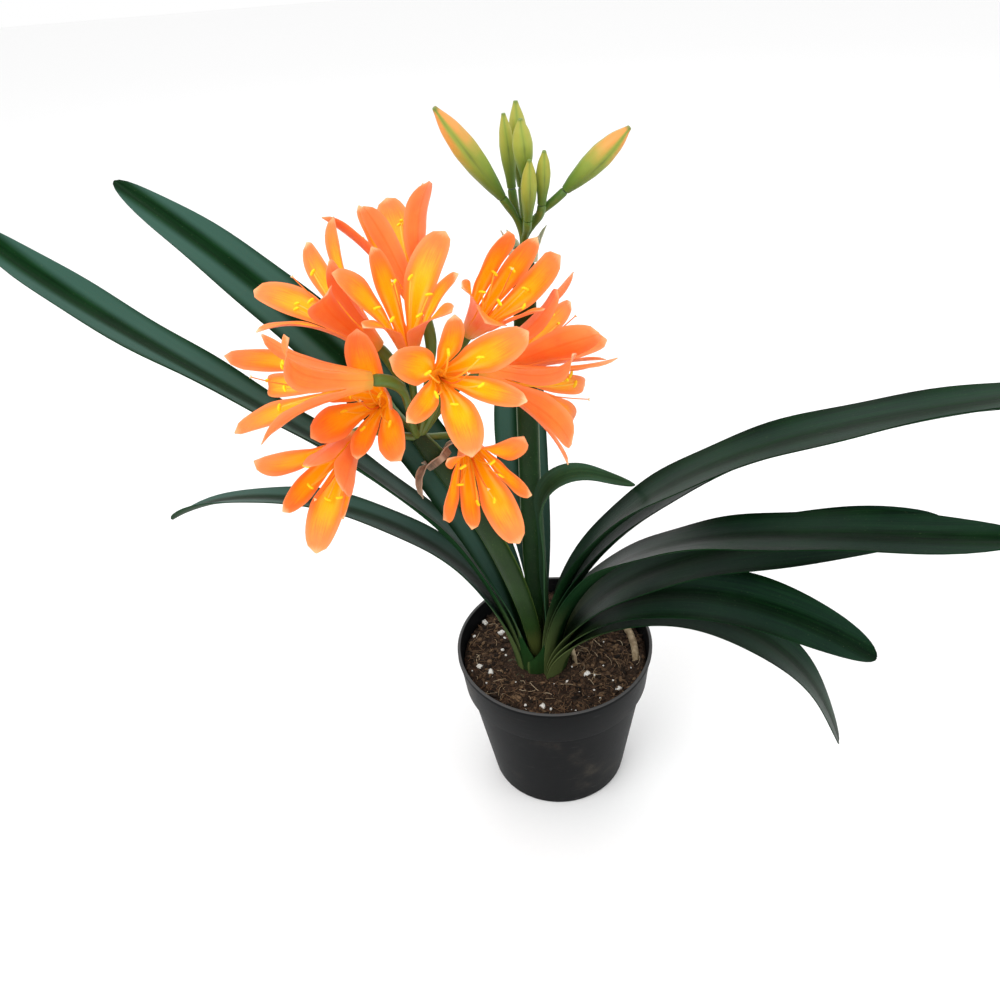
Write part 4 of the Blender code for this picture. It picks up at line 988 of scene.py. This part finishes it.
def bract_grids(bracts, seed):
    """Papery bracts on an oval ring round the stalk, finely creased, with worn edges."""
    axis = Vector(bracts.axis).normalized()
    first = Vector((0, 1, 0)).cross(axis).normalized()
    second = axis.cross(first)
    centre = Vector(bracts.centre)
    share = 2 * math.pi / len(bracts.lengths)
    draw = random.Random(seed)

    def ring_point(angle, grow):
        return (first * (bracts.half_width * grow * math.cos(angle))
                + second * (bracts.half_depth * grow * math.sin(angle)))

    columns, rows = 14, 22
    u = np.linspace(-1.0, 1.0, columns + 1)
    for j, (length, angle) in enumerate(zip(bracts.lengths, bracts.angles)):
        shift = Vector((draw.random(), draw.random(), draw.random())) * 30
        grid, tags = [], []
        base = math.radians(bracts.turn) + share * j
        for row in range(4):
            grow = 1.0 + 0.06 * row / 3
            grid.append([centre + ring_point(base + share * 0.5 * v, grow) + axis * (BRACT_RING * row / 3)
                         for v in u])
            tags.append([(v, 0.0, 1.0) for v in u])
        middle = ring_point(base, 1.06)
        out = middle.normalized()
        side = axis.cross(out)
        foot_width = (Vector(grid[-1][-1]) - Vector(grid[-1][0])).length
        point = centre + middle + axis * BRACT_RING
        for row in range(1, rows + 1):
            t = row / rows
            slope = math.radians(angle) * (0.5 + 0.5 * min(1.0, math.ceil(t * BRACT_ROWS) / BRACT_ROWS))
            ahead = axis * math.cos(slope) + out * math.sin(slope)
            point = point + ahead * (length / rows)
            back = out * math.cos(slope) - axis * math.sin(slope)
            width = foot_width * (1.0 - 0.75 * t) * (1.0 if t < 0.8 else max(0.06, (1.0 - t) / 0.2))
            line = []
            for v in u:
                torn = 1.0 + 0.16 * noise.noise(Vector((t * 9, v * 2, j)) + shift) * abs(v)
                crease = 0.00035 * noise.noise(Vector((t * 7, v * 6, j)) + shift)
                curl = BRACT_ARCH * width * v * v
                line.append(point + side * (v * width / 2 * torn) - back * (curl + crease))
            grid.append(line)
            tags.append([(v, t, 1.0) for v in u])
        grid = np.array([[tuple(p) for p in line] for line in grid])
        thick = BRACT_THICKNESS * (1.0 - 0.55 * np.abs(u) ** 2)
        yield grid, np.array(tags), np.broadcast_to(thick, grid.shape[:2])


def paper_finish(name, light, dark, edge):
    """Dry or half-dry bract: thin lengthwise fibres, blotches and a pale worn edge."""
    paper = Finish(name)
    across, along, _ = paper.tag("tag")
    place = paper.place()
    fibre = paper.noise(paper.join(across, along * 0.15, 0.0), 22.0, 3.0)
    blotch = paper.noise(place, 190.0, 4.0)
    colour = paper.coats(
        paper.mix(paper.between(fibre * 0.5 + blotch * 0.5, 0.36, 0.64), light, dark),
        (paper.between(abs(across) + 0.3 * blotch, 0.85, 1.15) * 0.8, edge),
        (paper.between(along, 0.75, 1.0) * 0.5, edge),
    )
    return paper.surface(colour, 0.6 + 0.2 * blotch, fibre, 0.00025, Subsurface_Weight=0.08,
                         Subsurface_Scale=0.002)


# Pot
def wall_radius(height):
    """The pot's outer radius at a height, below the collar and on it."""
    collar_foot = POT_HEIGHT - COLLAR_HEIGHT
    if height >= collar_foot:
        share = (height - collar_foot) / COLLAR_HEIGHT
        return COLLAR_FOOT_RADIUS + share * (RIM_RADIUS - LIP_OVERHANG - COLLAR_FOOT_RADIUS)
    share = height / collar_foot
    neck = COLLAR_FOOT_RADIUS - COLLAR_STEP
    return BASE_RADIUS + share * (neck - BASE_RADIUS)


def inner_line():
    """The pot's inner profile as radius and height, from its floor to its rim."""
    collar_foot = POT_HEIGHT - COLLAR_HEIGHT
    below = collar_foot - COLLAR_STEP / 2
    return [
        (wall_radius(FLOOR) - WALL, FLOOR),
        (wall_radius(below) - WALL, below + WALL / 2),
        (wall_radius(collar_foot) - WALL, collar_foot + WALL),
        (RIM_RADIUS - LIP_OVERHANG - WALL, POT_HEIGHT),
    ]


def pot_profile():
    """The pot's section with its small moulded roundings."""
    collar_foot = POT_HEIGHT - COLLAR_HEIGHT
    below = collar_foot - COLLAR_STEP / 2
    lip_foot = POT_HEIGHT - LIP_HEIGHT
    inner = inner_line()
    corner = 0.0004
    return [
        (0.0, FLOOR), (DRAIN_RING_RADIUS - 0.008, FLOOR), (DRAIN_RING_RADIUS + 0.008, FLOOR),
        *inner[:-1],
        (inner[-1][0], POT_HEIGHT - corner),
        (inner[-1][0] + corner * 0.4, POT_HEIGHT - corner * 0.25),
        (inner[-1][0] + corner, POT_HEIGHT),
        (RIM_RADIUS - LIP_OVERHANG, POT_HEIGHT),
        (RIM_RADIUS - LIP_OVERHANG * 0.3, POT_HEIGHT - LIP_OVERHANG * 0.3),
        (RIM_RADIUS, POT_HEIGHT - LIP_OVERHANG),
        (RIM_RADIUS, lip_foot),
        (RIM_RADIUS - LIP_OVERHANG * 0.5, lip_foot - LIP_OVERHANG * 0.6),
        (wall_radius(lip_foot), lip_foot - LIP_OVERHANG),
        (wall_radius(collar_foot + corner), collar_foot + corner),
        (wall_radius(collar_foot) - corner * 0.5, collar_foot - corner * 0.3),
        (wall_radius(below) + corner, below + corner * 0.4),
        (wall_radius(below), below),
        (wall_radius(below - 0.012), below - 0.012),
        (wall_radius(BASE_CHAMFER * 2), BASE_CHAMFER * 2),
        (wall_radius(BASE_CHAMFER), BASE_CHAMFER),
        (BASE_RADIUS - BASE_CHAMFER * 0.3, BASE_CHAMFER * 0.3),
        (BASE_RADIUS - BASE_CHAMFER, 0.0),
        (DRAIN_RING_RADIUS + 0.008, 0.0), (DRAIN_RING_RADIUS - 0.008, 0.0), (0.0, 0.0),
    ]


def lathe(profile, steps):
    mesh = bmesh.new()
    points = [mesh.verts.new((radius, 0.0, height)) for radius, height in profile]
    edges = [mesh.edges.new((a, b)) for a, b in zip(points, points[1:])]
    bmesh.ops.spin(mesh, geom=points + edges, cent=(0, 0, 0), axis=(0, 0, 1),
                   angle=2 * math.pi, steps=steps, use_merge=True)
    bmesh.ops.remove_doubles(mesh, verts=mesh.verts, dist=0.000002)
    bmesh.ops.recalc_face_normals(mesh, faces=mesh.faces)
    data = bpy.data.meshes.new("turned")
    mesh.to_mesh(data)
    mesh.free()
    return data


def drilled(data):
    """The turned pot with its drain holes cut."""
    pot = bpy.data.objects.new("turned", data)
    bpy.context.scene.collection.objects.link(pot)
    drills = []
    for i in range(DRAIN_COUNT):
        angle = 2 * math.pi * i / DRAIN_COUNT
        spot = (DRAIN_RING_RADIUS * math.cos(angle), DRAIN_RING_RADIUS * math.sin(angle), 0.0)
        mesh = bmesh.new()
        bmesh.ops.create_cone(mesh, cap_ends=True, segments=28, radius1=DRAIN_RADIUS,
                              radius2=DRAIN_RADIUS, depth=4 * FLOOR, matrix=Matrix.Translation(spot))
        drill_data = bpy.data.meshes.new("drill")
        mesh.to_mesh(drill_data)
        mesh.free()
        drill = bpy.data.objects.new("drill", drill_data)
        bpy.context.scene.collection.objects.link(drill)
        drills.append(drill)
        hole = pot.modifiers.new("hole", "BOOLEAN")
        hole.operation = "DIFFERENCE"
        hole.object = drill
        hole.solver = "EXACT"
    graph = bpy.context.evaluated_depsgraph_get()
    whole = bpy.data.meshes.new_from_object(pot.evaluated_get(graph))
    for spare in (pot, *drills):
        bpy.data.objects.remove(spare, do_unlink=True)
    return whole


def pot_finish(plastic):
    """Moulded plastic: satin, with a fine grain, a painted highlight along the top of the lip, dust and
    scuffs near the foot.
    """
    pot = Finish("pot_plastic")
    place = pot.place()
    x, y, z = pot.parts(place)
    grain = pot.noise(place, 2400.0, 2.0)
    cloud = pot.noise(place, 26.0, 4.0)
    turned = pot.noise(pot.join(x * 6.0, y * 6.0, z * 260.0), 3.0, 2.0)
    scratch = pot.noise(pot.join(x * 30.0, y * 30.0, z * 420.0), 2.2, 4.0, 0.7)
    # Painted highlight: a thin light grey line along the top of the lip
    lip = pot.between(z, POT_HEIGHT - 0.0007, POT_HEIGHT - 0.0001)
    foot = pot.between(z, 0.022, 0.002)
    scuff = pot.between(scratch, 0.60, 0.72)
    dust = pot.between(cloud + 0.3 * grain, 0.72, 0.95)
    colour = pot.coats(
        pot.mix(pot.between(cloud, 0.35, 0.7) * 0.5, plastic, [c * 1.7 for c in plastic]),
        # Painted highlight on the top of the lip
        (lip * 0.55, (0.13, 0.13, 0.13)),
        (scuff * (0.10 + 0.35 * foot), (0.20, 0.195, 0.185)),
        (dust * 0.18, (0.22, 0.18, 0.13)),
    )
    rough = 0.36 + 0.10 * grain + 0.10 * cloud + 0.12 * scuff
    return pot.surface(colour, rough, grain * 0.6 + turned * 0.4, 0.00006, Specular_IOR_Level=0.05)


# Soil
def soil_surface(x, y):
    """Height of the bumpy soil at a place."""
    return SOIL_TOP + SOIL_SWELL * noise.noise(Vector((x, y, 0.0)) * SOIL_GRAIN)


def crumbly(x, y):
    """The soil's height with its crumbs and hollows."""
    spot = Vector((x, y, 0.0))
    crumbs = 0.0007 * noise.noise(spot * 330) + 0.0005 * noise.noise(spot * 800)
    pits = 0.0011 * min(0.0, noise.noise(spot * 190 + Vector((7, 3, 1))) + 0.12)
    return soil_surface(x, y) + crumbs + pits * 1.2 - 0.0002


def in_crown(x, y, grow=0.0):
    return math.hypot(x - CROWN_X, y - CROWN_Y) < CROWN_RADIUS + grow


def soil_body(skin):
    """The top with its crumbs, and the mass of soil down to the pot's floor."""
    bottom, low, high, _ = inner_line()
    rim = wall_radius(SOIL_TOP) - WALL - SOIL_CLEARANCE
    steps, rings = SOIL_FINE_STEPS, SOIL_FINE_RINGS
    points, faces = [], []
    for ring in range(rings + 1):
        reach = rim * (0.004 + 0.996 * (ring / rings) ** 0.85)
        for k in range(steps):
            angle = 2 * math.pi * k / steps
            x, y = reach * math.cos(angle), reach * math.sin(angle)
            height = crumbly(x, y)
            if in_crown(x, y, 0.0002):
                height = min(height, CROWN_TOP + 0.0010 + (height - soil_surface(x, y)))
            fall = smooth_step(rim - 0.002, rim, reach)
            points.append((x, y, height - fall * SOIL_SWELL))
    for height, reach in ((high[1], high[0]), (low[1], low[0]), (bottom[1] + GAP, bottom[0]),
                          (bottom[1] + GAP, bottom[0] * 0.5), (bottom[1] + GAP, 0.0005)):
        reach -= SOIL_CLEARANCE if reach > 0.03 else 0.0
        for k in range(steps):
            angle = 2 * math.pi * k / steps
            points.append((reach * math.cos(angle), reach * math.sin(angle), height))
    total = rings + 6
    for ring in range(total - 1):
        for k in range(steps):
            j = (k + 1) % steps
            faces.append((ring * steps + k, (ring + 1) * steps + k, (ring + 1) * steps + j, ring * steps + j))
    faces.append(tuple(range(steps)))
    faces.append(tuple(range((total - 1) * steps, total * steps))[::-1])
    skin.add(points, [(0.5, 0.5, 0.0)] * len(points), faces, 0)


def scatter(draw, reach, margin=0.0012):
    """A place on the soil clear of the crown."""
    while True:
        x, y = draw.uniform(-reach, reach), draw.uniform(-reach, reach)
        if math.hypot(x, y) < reach and not in_crown(x, y, margin):
            return x, y


def soil_crumbs(skin, chips, fibres):
    """Bark chips, fibres, perlite and fine crumbs on the soil."""
    draw = random.Random(SOIL_SEED)
    reach = STREWN_REACH
    for _ in range(chips):
        x, y = scatter(draw, reach)
        size = draw.uniform(0.0005, 0.0019)
        spot = (x, y, soil_surface(x, y) + size * 0.15)
        radii = (size * draw.uniform(0.8, 1.6), size * draw.uniform(0.5, 0.9), size * draw.uniform(0.3, 0.7))
        skin.lump(spot, radii, draw, 1, 0.3, 1)
    for i in range(fibres):
        x, y = scatter(draw, reach - 0.003, 0.004)
        heading = draw.uniform(0, 6.28)
        length = draw.uniform(0.003, 0.011)
        bend = draw.uniform(-1.0, 1.0)
        knots = []
        for k in range(7):
            t = k / 6
            turn = heading + bend * t
            px, py = x + length * t * math.cos(turn), y + length * t * math.sin(turn)
            if math.hypot(px, py) > reach or in_crown(px, py, 0.001):
                break
            lift = 0.0004 + 0.0009 * math.sin(math.pi * t) * draw.uniform(0.3, 1.0)
            knots.append((px, py, soil_surface(px, py) + lift))
        if len(knots) > 3:
            girth = draw.uniform(0.00010, 0.00024)
            skin.tube(knots, [girth] * len(knots), 5, draw.random(), 2 if i % 5 else 3)
    for x, y in PERLITE_PLACES:
        size = PERLITE_RADIUS * draw.uniform(0.75, 1.0)
        skin.lump((x, y, soil_surface(x, y)), (size * 1.2, size, size * 0.8), draw, 4, 0.24, 3)
    for x, y in FINE_PERLITE:
        size = draw.uniform(0.0006, 0.0012)
        skin.lump((x, y, soil_surface(x, y) + size * 0.4), (size * 1.2, size, size * 0.8), draw, 4, 0.2, 2)
    for _ in range(CRUMB_COUNT):
        x, y = scatter(draw, reach)
        size = draw.uniform(0.0004, 0.0008)
        skin.lump((x, y, soil_surface(x, y) + size * 0.5), (size, size, size), draw, 4, 0.2, 1)


def soil_finishes(peat):
    """Dark peat, bark chips in browns, tan and pale fibres, and white perlite."""
    soil = Finish("soil_mix")
    place = soil.place()
    grit = soil.noise(place, 900.0, 5.0)
    patch = soil.noise(place, 120.0, 4.0)
    colour = soil.ramp(grit * 0.6 + patch * 0.4,
                       [(0.30, [c * 0.35 for c in peat]), (0.50, peat), (0.64, (0.105, 0.056, 0.032)),
                        (0.80, (0.19, 0.125, 0.070))])
    soil.surface(colour, 0.93, grit, 0.0006, Specular_IOR_Level=0.2)
    chip = Finish("bark_chip")
    tint, _, _ = chip.tag("tag")
    grain = chip.noise(chip.place(), 1500.0, 3.0)
    colour = chip.ramp(tint * 0.8 + grain * 0.2,
                       [(0.1, (0.010, 0.007, 0.005)), (0.45, (0.038, 0.022, 0.013)),
                        (0.75, (0.090, 0.052, 0.028)), (0.95, (0.21, 0.135, 0.075))])
    chip.surface(colour, 0.9, grain, 0.0003, Specular_IOR_Level=0.2)
    made = [soil, chip]
    for name, low, high in (("coir_fibre", (0.055, 0.030, 0.015), (0.20, 0.115, 0.055)),
                            ("pale_fibre", (0.26, 0.17, 0.09), (0.50, 0.40, 0.27))):
        fibre = Finish(name)
        _, along, kind = fibre.tag("tag")
        fibre.surface(fibre.mix(kind * 0.7 + along * 0.3, low, high), 0.85)
        made.append(fibre)
    perlite = Finish("perlite")
    pore = perlite.noise(perlite.place(), 1900.0, 3.0)
    stain = perlite.noise(perlite.place(), 320.0, 3.0)
    colour = perlite.mix(perlite.between(stain, 0.45, 0.75) * 0.6, (0.78, 0.77, 0.73), (0.46, 0.40, 0.31))
    perlite.surface(colour, 0.9, pore, 0.0004)
    made.append(perlite)
    return [finish.material for finish in made]


# Settings that a user would change
def colour_field(name, description, default):
    return bpy.props.FloatVectorProperty(name=name, description=description, default=default,
                                         size=3, min=0.0, max=1.0, subtype="COLOR")


class CliviaLeafSettings(bpy.types.PropertyGroup):
    thickness: bpy.props.FloatProperty(name="Thickness", description="Thickness of a leaf at its rib",
                                       default=LEAF_THICKNESS, min=0.0006, max=0.003, unit="LENGTH")
    dark: colour_field("Dark green", "Darker tone of the leaves", (0.0008, 0.0070, 0.0020))
    light: colour_field("Light green", "Lighter tone of the leaves", (0.0032, 0.0215, 0.0048))
    young: colour_field("Young leaf", "Tone of the young leaf", (0.030, 0.078, 0.030))


class CliviaFlowerSettings(bpy.types.PropertyGroup):
    ripple: bpy.props.FloatProperty(name="Ripple", description="Height of the waves along a petal's edge",
                                    default=0.0007, min=0.0, max=0.003, unit="LENGTH")
    flesh: colour_field("Petal", "Main orange of the petals", (0.91, 0.215, 0.014))
    deep: colour_field("Petal veins", "Deeper orange between the veins", (0.86, 0.120, 0.007))
    blush: colour_field("Petal edge", "Salmon of edges and backs", (0.92, 0.290, 0.110))
    throat: colour_field("Throat", "Golden streak in the throat", (1.0, 0.58, 0.004))


class CliviaPotSettings(bpy.types.PropertyGroup):
    plastic: colour_field("Plastic", "Charcoal of the pot", (0.0042, 0.0047, 0.0052))
    peat: colour_field("Soil", "Brown of the potting mix", (0.030, 0.018, 0.011))
    chips: bpy.props.IntProperty(name="Bark chips", description="Number of bark chips on the soil",
                                 default=1800, min=0, max=4000)
    fibres: bpy.props.IntProperty(name="Fibres", description="Number of fibres on the soil",
                                  default=340, min=0, max=1500)


class CliviaStageSettings(bpy.types.PropertyGroup):
    key: bpy.props.FloatProperty(name="Key light", description="Power of the main soft light",
                                 default=10.0, min=0.0, max=500.0, unit="POWER")
    fill: bpy.props.FloatProperty(name="Fill light", description="Power of the second soft light",
                                  default=5.0, min=0.0, max=500.0, unit="POWER")
    sky: bpy.props.FloatProperty(name="Sky", description="Strength of the even white light",
                                 default=1.0, min=0.0, max=5.0)


# Operators
class CLIVIA_OT_leaves(bpy.types.Operator):
    """Build the strap leaves of both fans, the leaf between them and the young leaf"""
    bl_idname = "clivia.leaves"
    bl_label = "Leaves"

    def execute(self, context):
        given = context.scene.clivia_leaves
        dark, light = tuple(given.dark), tuple(given.light)
        mid = [0.5 * (a + b) for a, b in zip(dark, light)]
        # The third number of each finish is the strength of its painted sky reflection; the left leaves, also
        # lighter in tone, carry the most
        finishes = {
            "right": leaf_finish("leaf_green_right", dark, light, 0.12, 1.0),
            "left": leaf_finish("leaf_green_left", mid, [c * 1.5 for c in light], 0.75, 0.9),
            "young": leaf_finish("leaf_green_young", [c * 0.6 for c in given.young], tuple(given.young),
                                 0.3, 0.2),
        }
        for leaf in LEAVES:
            skin = Skin()
            grid, tags, thick = leaf_blade(leaf, given.thickness)
            skin.plate(grid, thick, tags)
            group = "young" if leaf.name == "leaf_young" else "right" if leaf.fan == FAN_RIGHT else "left"
            skin.piece(leaf.name + "_blade", [finishes[group]], "leaf_green", leaf.name)
        skin = Skin()
        for sheath in SHEATHS:
            sheath_wrap(skin, sheath)
        skin.piece("old_sheaths", [finishes["left"]], "leaf_green")
        return {"FINISHED"}


class CLIVIA_OT_flowers(bpy.types.Operator):
    """Build the open flowers with their tepals"""
    bl_idname = "clivia.flowers"
    bl_label = "Flowers"

    def execute(self, context):
        given = context.scene.clivia_flowers
        finish = petal_finish(tuple(given.flesh), tuple(given.deep), tuple(given.blush), tuple(given.throat))
        for bloom in BLOOMS:
            skin = Skin()
            for j in range(6):
                grid, tags, thick = tepal(bloom, j, given.ripple)
                skin.plate(grid, thick, tags)
            tube_floor(skin, bloom)
            skin.piece("flower_" + bloom.name, [finish], "petal_orange", "bloom_" + bloom.name)
        return {"FINISHED"}


class CLIVIA_OT_hearts(bpy.types.Operator):
    """Build the filaments, anthers and style in each flower"""
    bl_idname = "clivia.hearts"
    bl_label = "Stamens and styles"

    def execute(self, context):
        finishes = heart_finishes()
        for number, bloom in enumerate(BLOOMS):
            skin = Skin()
            flower_heart(skin, bloom, number)
            skin.piece("heart_" + bloom.name, finishes, "stamen_yellow", "stamens_" + bloom.name)
        return {"FINISHED"}


class CLIVIA_OT_stalks(bpy.types.Operator):
    """Build the flower stalk and the bud stalk with their flower stems"""
    bl_idname = "clivia.stalks"
    bl_label = "Stalks"

    def execute(self, context):
        skin = Skin()
        scape(skin, FLOWER_STALK)
        top = Vector(FLOWER_STALK.top)
        for bloom in BLOOMS:
            foot, axis, _, _ = bloom_axes(bloom)
            pedicel(skin, top, (foot - top).normalized(), foot, axis, PEDICEL_RADIUS, OVARY_RADIUS)
        finishes = stalk_finishes("stalk_olive", (0.009, 0.026, 0.004), (0.10, 0.17, 0.035))
        skin.piece("stalk_of_flowers", finishes, "stalk_green", "flower_stalk")
        skin = Skin()
        scape(skin, BUD_STALK)
        top = Vector(BUD_STALK.top)
        up = (top - Vector(BUD_STALK.middle)).normalized()
        for bud in BUDS:
            foot = Vector(bud.foot)
            axis = (Vector(bud.tip) - foot).normalized()
            pedicel(skin, top, up, foot, axis, PEDICEL_RADIUS * 0.85, BUD_FOOT_RADIUS)
        finishes = stalk_finishes("stalk_dark", (0.010, 0.040, 0.009), (0.12, 0.20, 0.06))
        skin.piece("stalk_of_buds", finishes, "stalk_green", "bud_stalk")
        return {"FINISHED"}


class CLIVIA_OT_buds(bpy.types.Operator):
    """Build the closed buds"""
    bl_idname = "clivia.buds"
    bl_label = "Buds"

    def execute(self, context):
        large = bud_finish("bud_green_flushed", 0.85)
        small = bud_finish("bud_green_small", 0.12)
        for bud in BUDS:
            skin = Skin()
            bud_skin(skin, bud)
            finish = large if bud.radius > LARGE_BUD_RADIUS else small
            skin.piece("closed_bud_" + bud.name, [finish], "bud_green", "bud_" + bud.name)
        return {"FINISHED"}


class CLIVIA_OT_bracts(bpy.types.Operator):
    """Build the papery bracts under the flowers and under the buds"""
    bl_idname = "clivia.bracts"
    bl_label = "Bracts"

    def execute(self, context):
        brown = paper_finish("paper_brown", (0.34, 0.235, 0.15), (0.13, 0.085, 0.055), (0.50, 0.40, 0.29))
        green = paper_finish("paper_green", (0.50, 0.54, 0.37), (0.27, 0.34, 0.19), (0.66, 0.64, 0.50))
        for bracts, finish, slot, seed in ((FLOWER_BRACTS, brown, "paper_brown", FLOWER_BRACT_SEED),
                                           (BUD_BRACTS, green, "paper_green", BUD_BRACT_SEED)):
            skin = Skin()
            for grid, tags, thick in bract_grids(bracts, seed):
                skin.plate(grid, thick, tags)
            skin.piece(bracts.name + "_paper", [finish], slot, bracts.name)
        return {"FINISHED"}


class CLIVIA_OT_pot(bpy.types.Operator):
    """Build the moulded nursery pot with its collar, lip and drain holes"""
    bl_idname = "clivia.pot"
    bl_label = "Pot"

    def execute(self, context):
        given = context.scene.clivia_pot
        data = drilled(lathe(pot_profile(), POT_FINE_STEPS))
        data.materials.clear()
        data.materials.append(pot_finish(tuple(given.plastic)))
        shown("nursery_pot", data, "pot_plastic", ("pot",), 30.0)
        return {"FINISHED"}


class CLIVIA_OT_soil(bpy.types.Operator):
    """Build the potting mix with its bark chips, fibres and perlite"""
    bl_idname = "clivia.soil"
    bl_label = "Soil"

    def execute(self, context):
        given = context.scene.clivia_pot
        skin = Skin()
        soil_body(skin)
        soil_crumbs(skin, given.chips, given.fibres)
        skin.piece("potting_mix", soil_finishes(tuple(given.peat)), "soil_mix", "soil", sharp=80.0)
        return {"FINISHED"}


class CLIVIA_OT_roots(bpy.types.Operator):
    """Build the pale roots on the soil and finish the crown"""
    bl_idname = "clivia.roots"
    bl_label = "Roots and crown"

    def execute(self, context):
        skin_finish = Finish("root_skin")
        band = skin_finish.noise(skin_finish.place(), 420.0, 4.0)
        stain = skin_finish.noise(skin_finish.place(), 110.0, 3.0)
        colour = skin_finish.mix(skin_finish.between(band * 0.5 + stain * 0.5, 0.38, 0.62),
                                 (0.46, 0.36, 0.22), (0.22, 0.155, 0.085))
        root_material = skin_finish.surface(colour, 0.72, band, 0.0004)
        for root in ROOTS:
            knots = [Vector((x, y, soil_surface(x, y) + lift)) for x, y, lift in root.knots]
            middle = len(knots) - 1
            line, girths = [], []
            for i in range(6 * middle + 1):
                t = i / (6 * middle)
                place = t * middle
                low = min(int(place), middle - 1)
                line.append(knots[low].lerp(knots[low + 1], place - low))
                swell = 0.06 * noise.noise(Vector((t * 14, root.radius * 900, 0)))
                girths.append(root.radius * (0.8 + 0.2 * math.sin(math.pi * t) + swell))
            line = [line[0]] + [(line[i - 1] + line[i] * 2 + line[i + 1]) / 4
                                for i in range(1, len(line) - 1)] + [line[-1]]
            skin = Skin()
            skin.tube(line, girths, 16)
            skin.piece(root.name + "_skin", [root_material], "root_skin", root.name)
        crown = Finish("crown_skin")
        ring = crown.noise(crown.place(), 240.0, 4.0)
        colour = crown.mix(crown.between(ring, 0.36, 0.64), (0.022, 0.026, 0.010), (0.075, 0.065, 0.025))
        material = crown.surface(colour, 0.75, ring, 0.0005)
        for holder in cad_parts["crown"].material_slots:
            holder.material = material
        return {"FINISHED"}


class CLIVIA_OT_stage(bpy.types.Operator):
    """Make the pale floor, the soft lights and the camera of the photograph"""
    bl_idname = "clivia.stage"
    bl_label = "Stage"

    def execute(self, context):
        given = context.scene.clivia_stage
        scene = context.scene
        mesh = bmesh.new()
        bmesh.ops.create_grid(mesh, x_segments=2, y_segments=2, size=FLOOR_SIZE / 2)
        data = bpy.data.meshes.new("floor")
        mesh.to_mesh(data)
        mesh.free()
        floor = bpy.data.objects.new("floor", data)
        floor.location.z = -FLOOR_DROP
        scene.collection.objects.link(floor)
        paper = Finish("floor_white")
        tooth = paper.noise(paper.place(), 300.0, 2.0)
        data.materials.append(paper.surface(paper.mix(tooth, (0.93, 0.93, 0.93), (0.95, 0.95, 0.95)), 0.9))
        powers = {"key": given.key, "fill": given.fill, "back": given.fill * BACK_SHARE}
        for name, place, size in LIGHTS:
            lamp = bpy.data.lights.new(name, "AREA")
            lamp.shape = "DISK"
            lamp.size = size
            lamp.energy = powers[name]
            light = bpy.data.objects.new(name, lamp)
            light.location = place
            aim = Vector(LIGHT_AIM) - Vector(place)
            light.rotation_euler = aim.to_track_quat("-Z", "Y").to_euler()
            scene.collection.objects.link(light)
        world = bpy.data.worlds.new("white")
        world.use_nodes = True
        sky = world.node_tree.nodes["Background"]
        sky.inputs["Color"].default_value = (1.0, 1.0, 1.0, 1.0)
        sky.inputs["Strength"].default_value = given.sky
        scene.world = world
        scene.view_settings.view_transform = "Standard"
        scene.view_settings.look = "None"
        lens = bpy.data.cameras.new("camera")
        lens.lens = CAMERA_LENS
        lens.sensor_width = 36.0
        lens.clip_start = 0.01
        camera = bpy.data.objects.new("camera", lens)
        turn = Matrix.Rotation(math.radians(90 + CAMERA_PITCH), 4, "X")
        camera.matrix_world = (Matrix.Translation(CAMERA_PLACE) @ turn
                               @ Matrix.Rotation(math.radians(CAMERA_ROLL), 4, "Z"))
        scene.collection.objects.link(camera)
        scene.camera = camera
        return {"FINISHED"}


OPERATORS = (CLIVIA_OT_leaves, CLIVIA_OT_flowers, CLIVIA_OT_hearts, CLIVIA_OT_stalks, CLIVIA_OT_buds,
             CLIVIA_OT_bracts, CLIVIA_OT_pot, CLIVIA_OT_soil, CLIVIA_OT_roots, CLIVIA_OT_stage)


class CLIVIA_PT_sidebar(bpy.types.Panel):
    """Lists the steps and settings of the clivia"""
    bl_idname = "CLIVIA_PT_sidebar"
    bl_label = "Potted clivia"
    bl_space_type = "VIEW_3D"
    bl_region_type = "UI"
    bl_category = "Clivia"

    def draw(self, context):
        for title, group in SETTINGS.items():
            box = self.layout.box()
            box.label(text=title.replace("_", " "))
            given = getattr(context.scene, title)
            for field in group.__annotations__:
                box.prop(given, field)
        for operator in OPERATORS:
            self.layout.operator(operator.bl_idname)


SETTINGS = {"clivia_leaves": CliviaLeafSettings, "clivia_flowers": CliviaFlowerSettings,
            "clivia_pot": CliviaPotSettings, "clivia_stage": CliviaStageSettings}
CLASSES = (*SETTINGS.values(), *OPERATORS, CLIVIA_PT_sidebar)


def register():
    for group in CLASSES:
        bpy.utils.register_class(group)
    for title, group in SETTINGS.items():
        setattr(bpy.types.Scene, title, bpy.props.PointerProperty(type=group))


def unregister():
    for title in SETTINGS:
        delattr(bpy.types.Scene, title)
    for group in reversed(CLASSES):
        bpy.utils.unregister_class(group)


def main():
    register()
    bpy.ops.clivia.stage()
    bpy.ops.clivia.pot()
    bpy.ops.clivia.soil()
    bpy.ops.clivia.roots()
    bpy.ops.clivia.leaves()
    bpy.ops.clivia.stalks()
    bpy.ops.clivia.flowers()
    bpy.ops.clivia.hearts()
    bpy.ops.clivia.buds()
    bpy.ops.clivia.bracts()


if __name__ == "__main__":
    main()
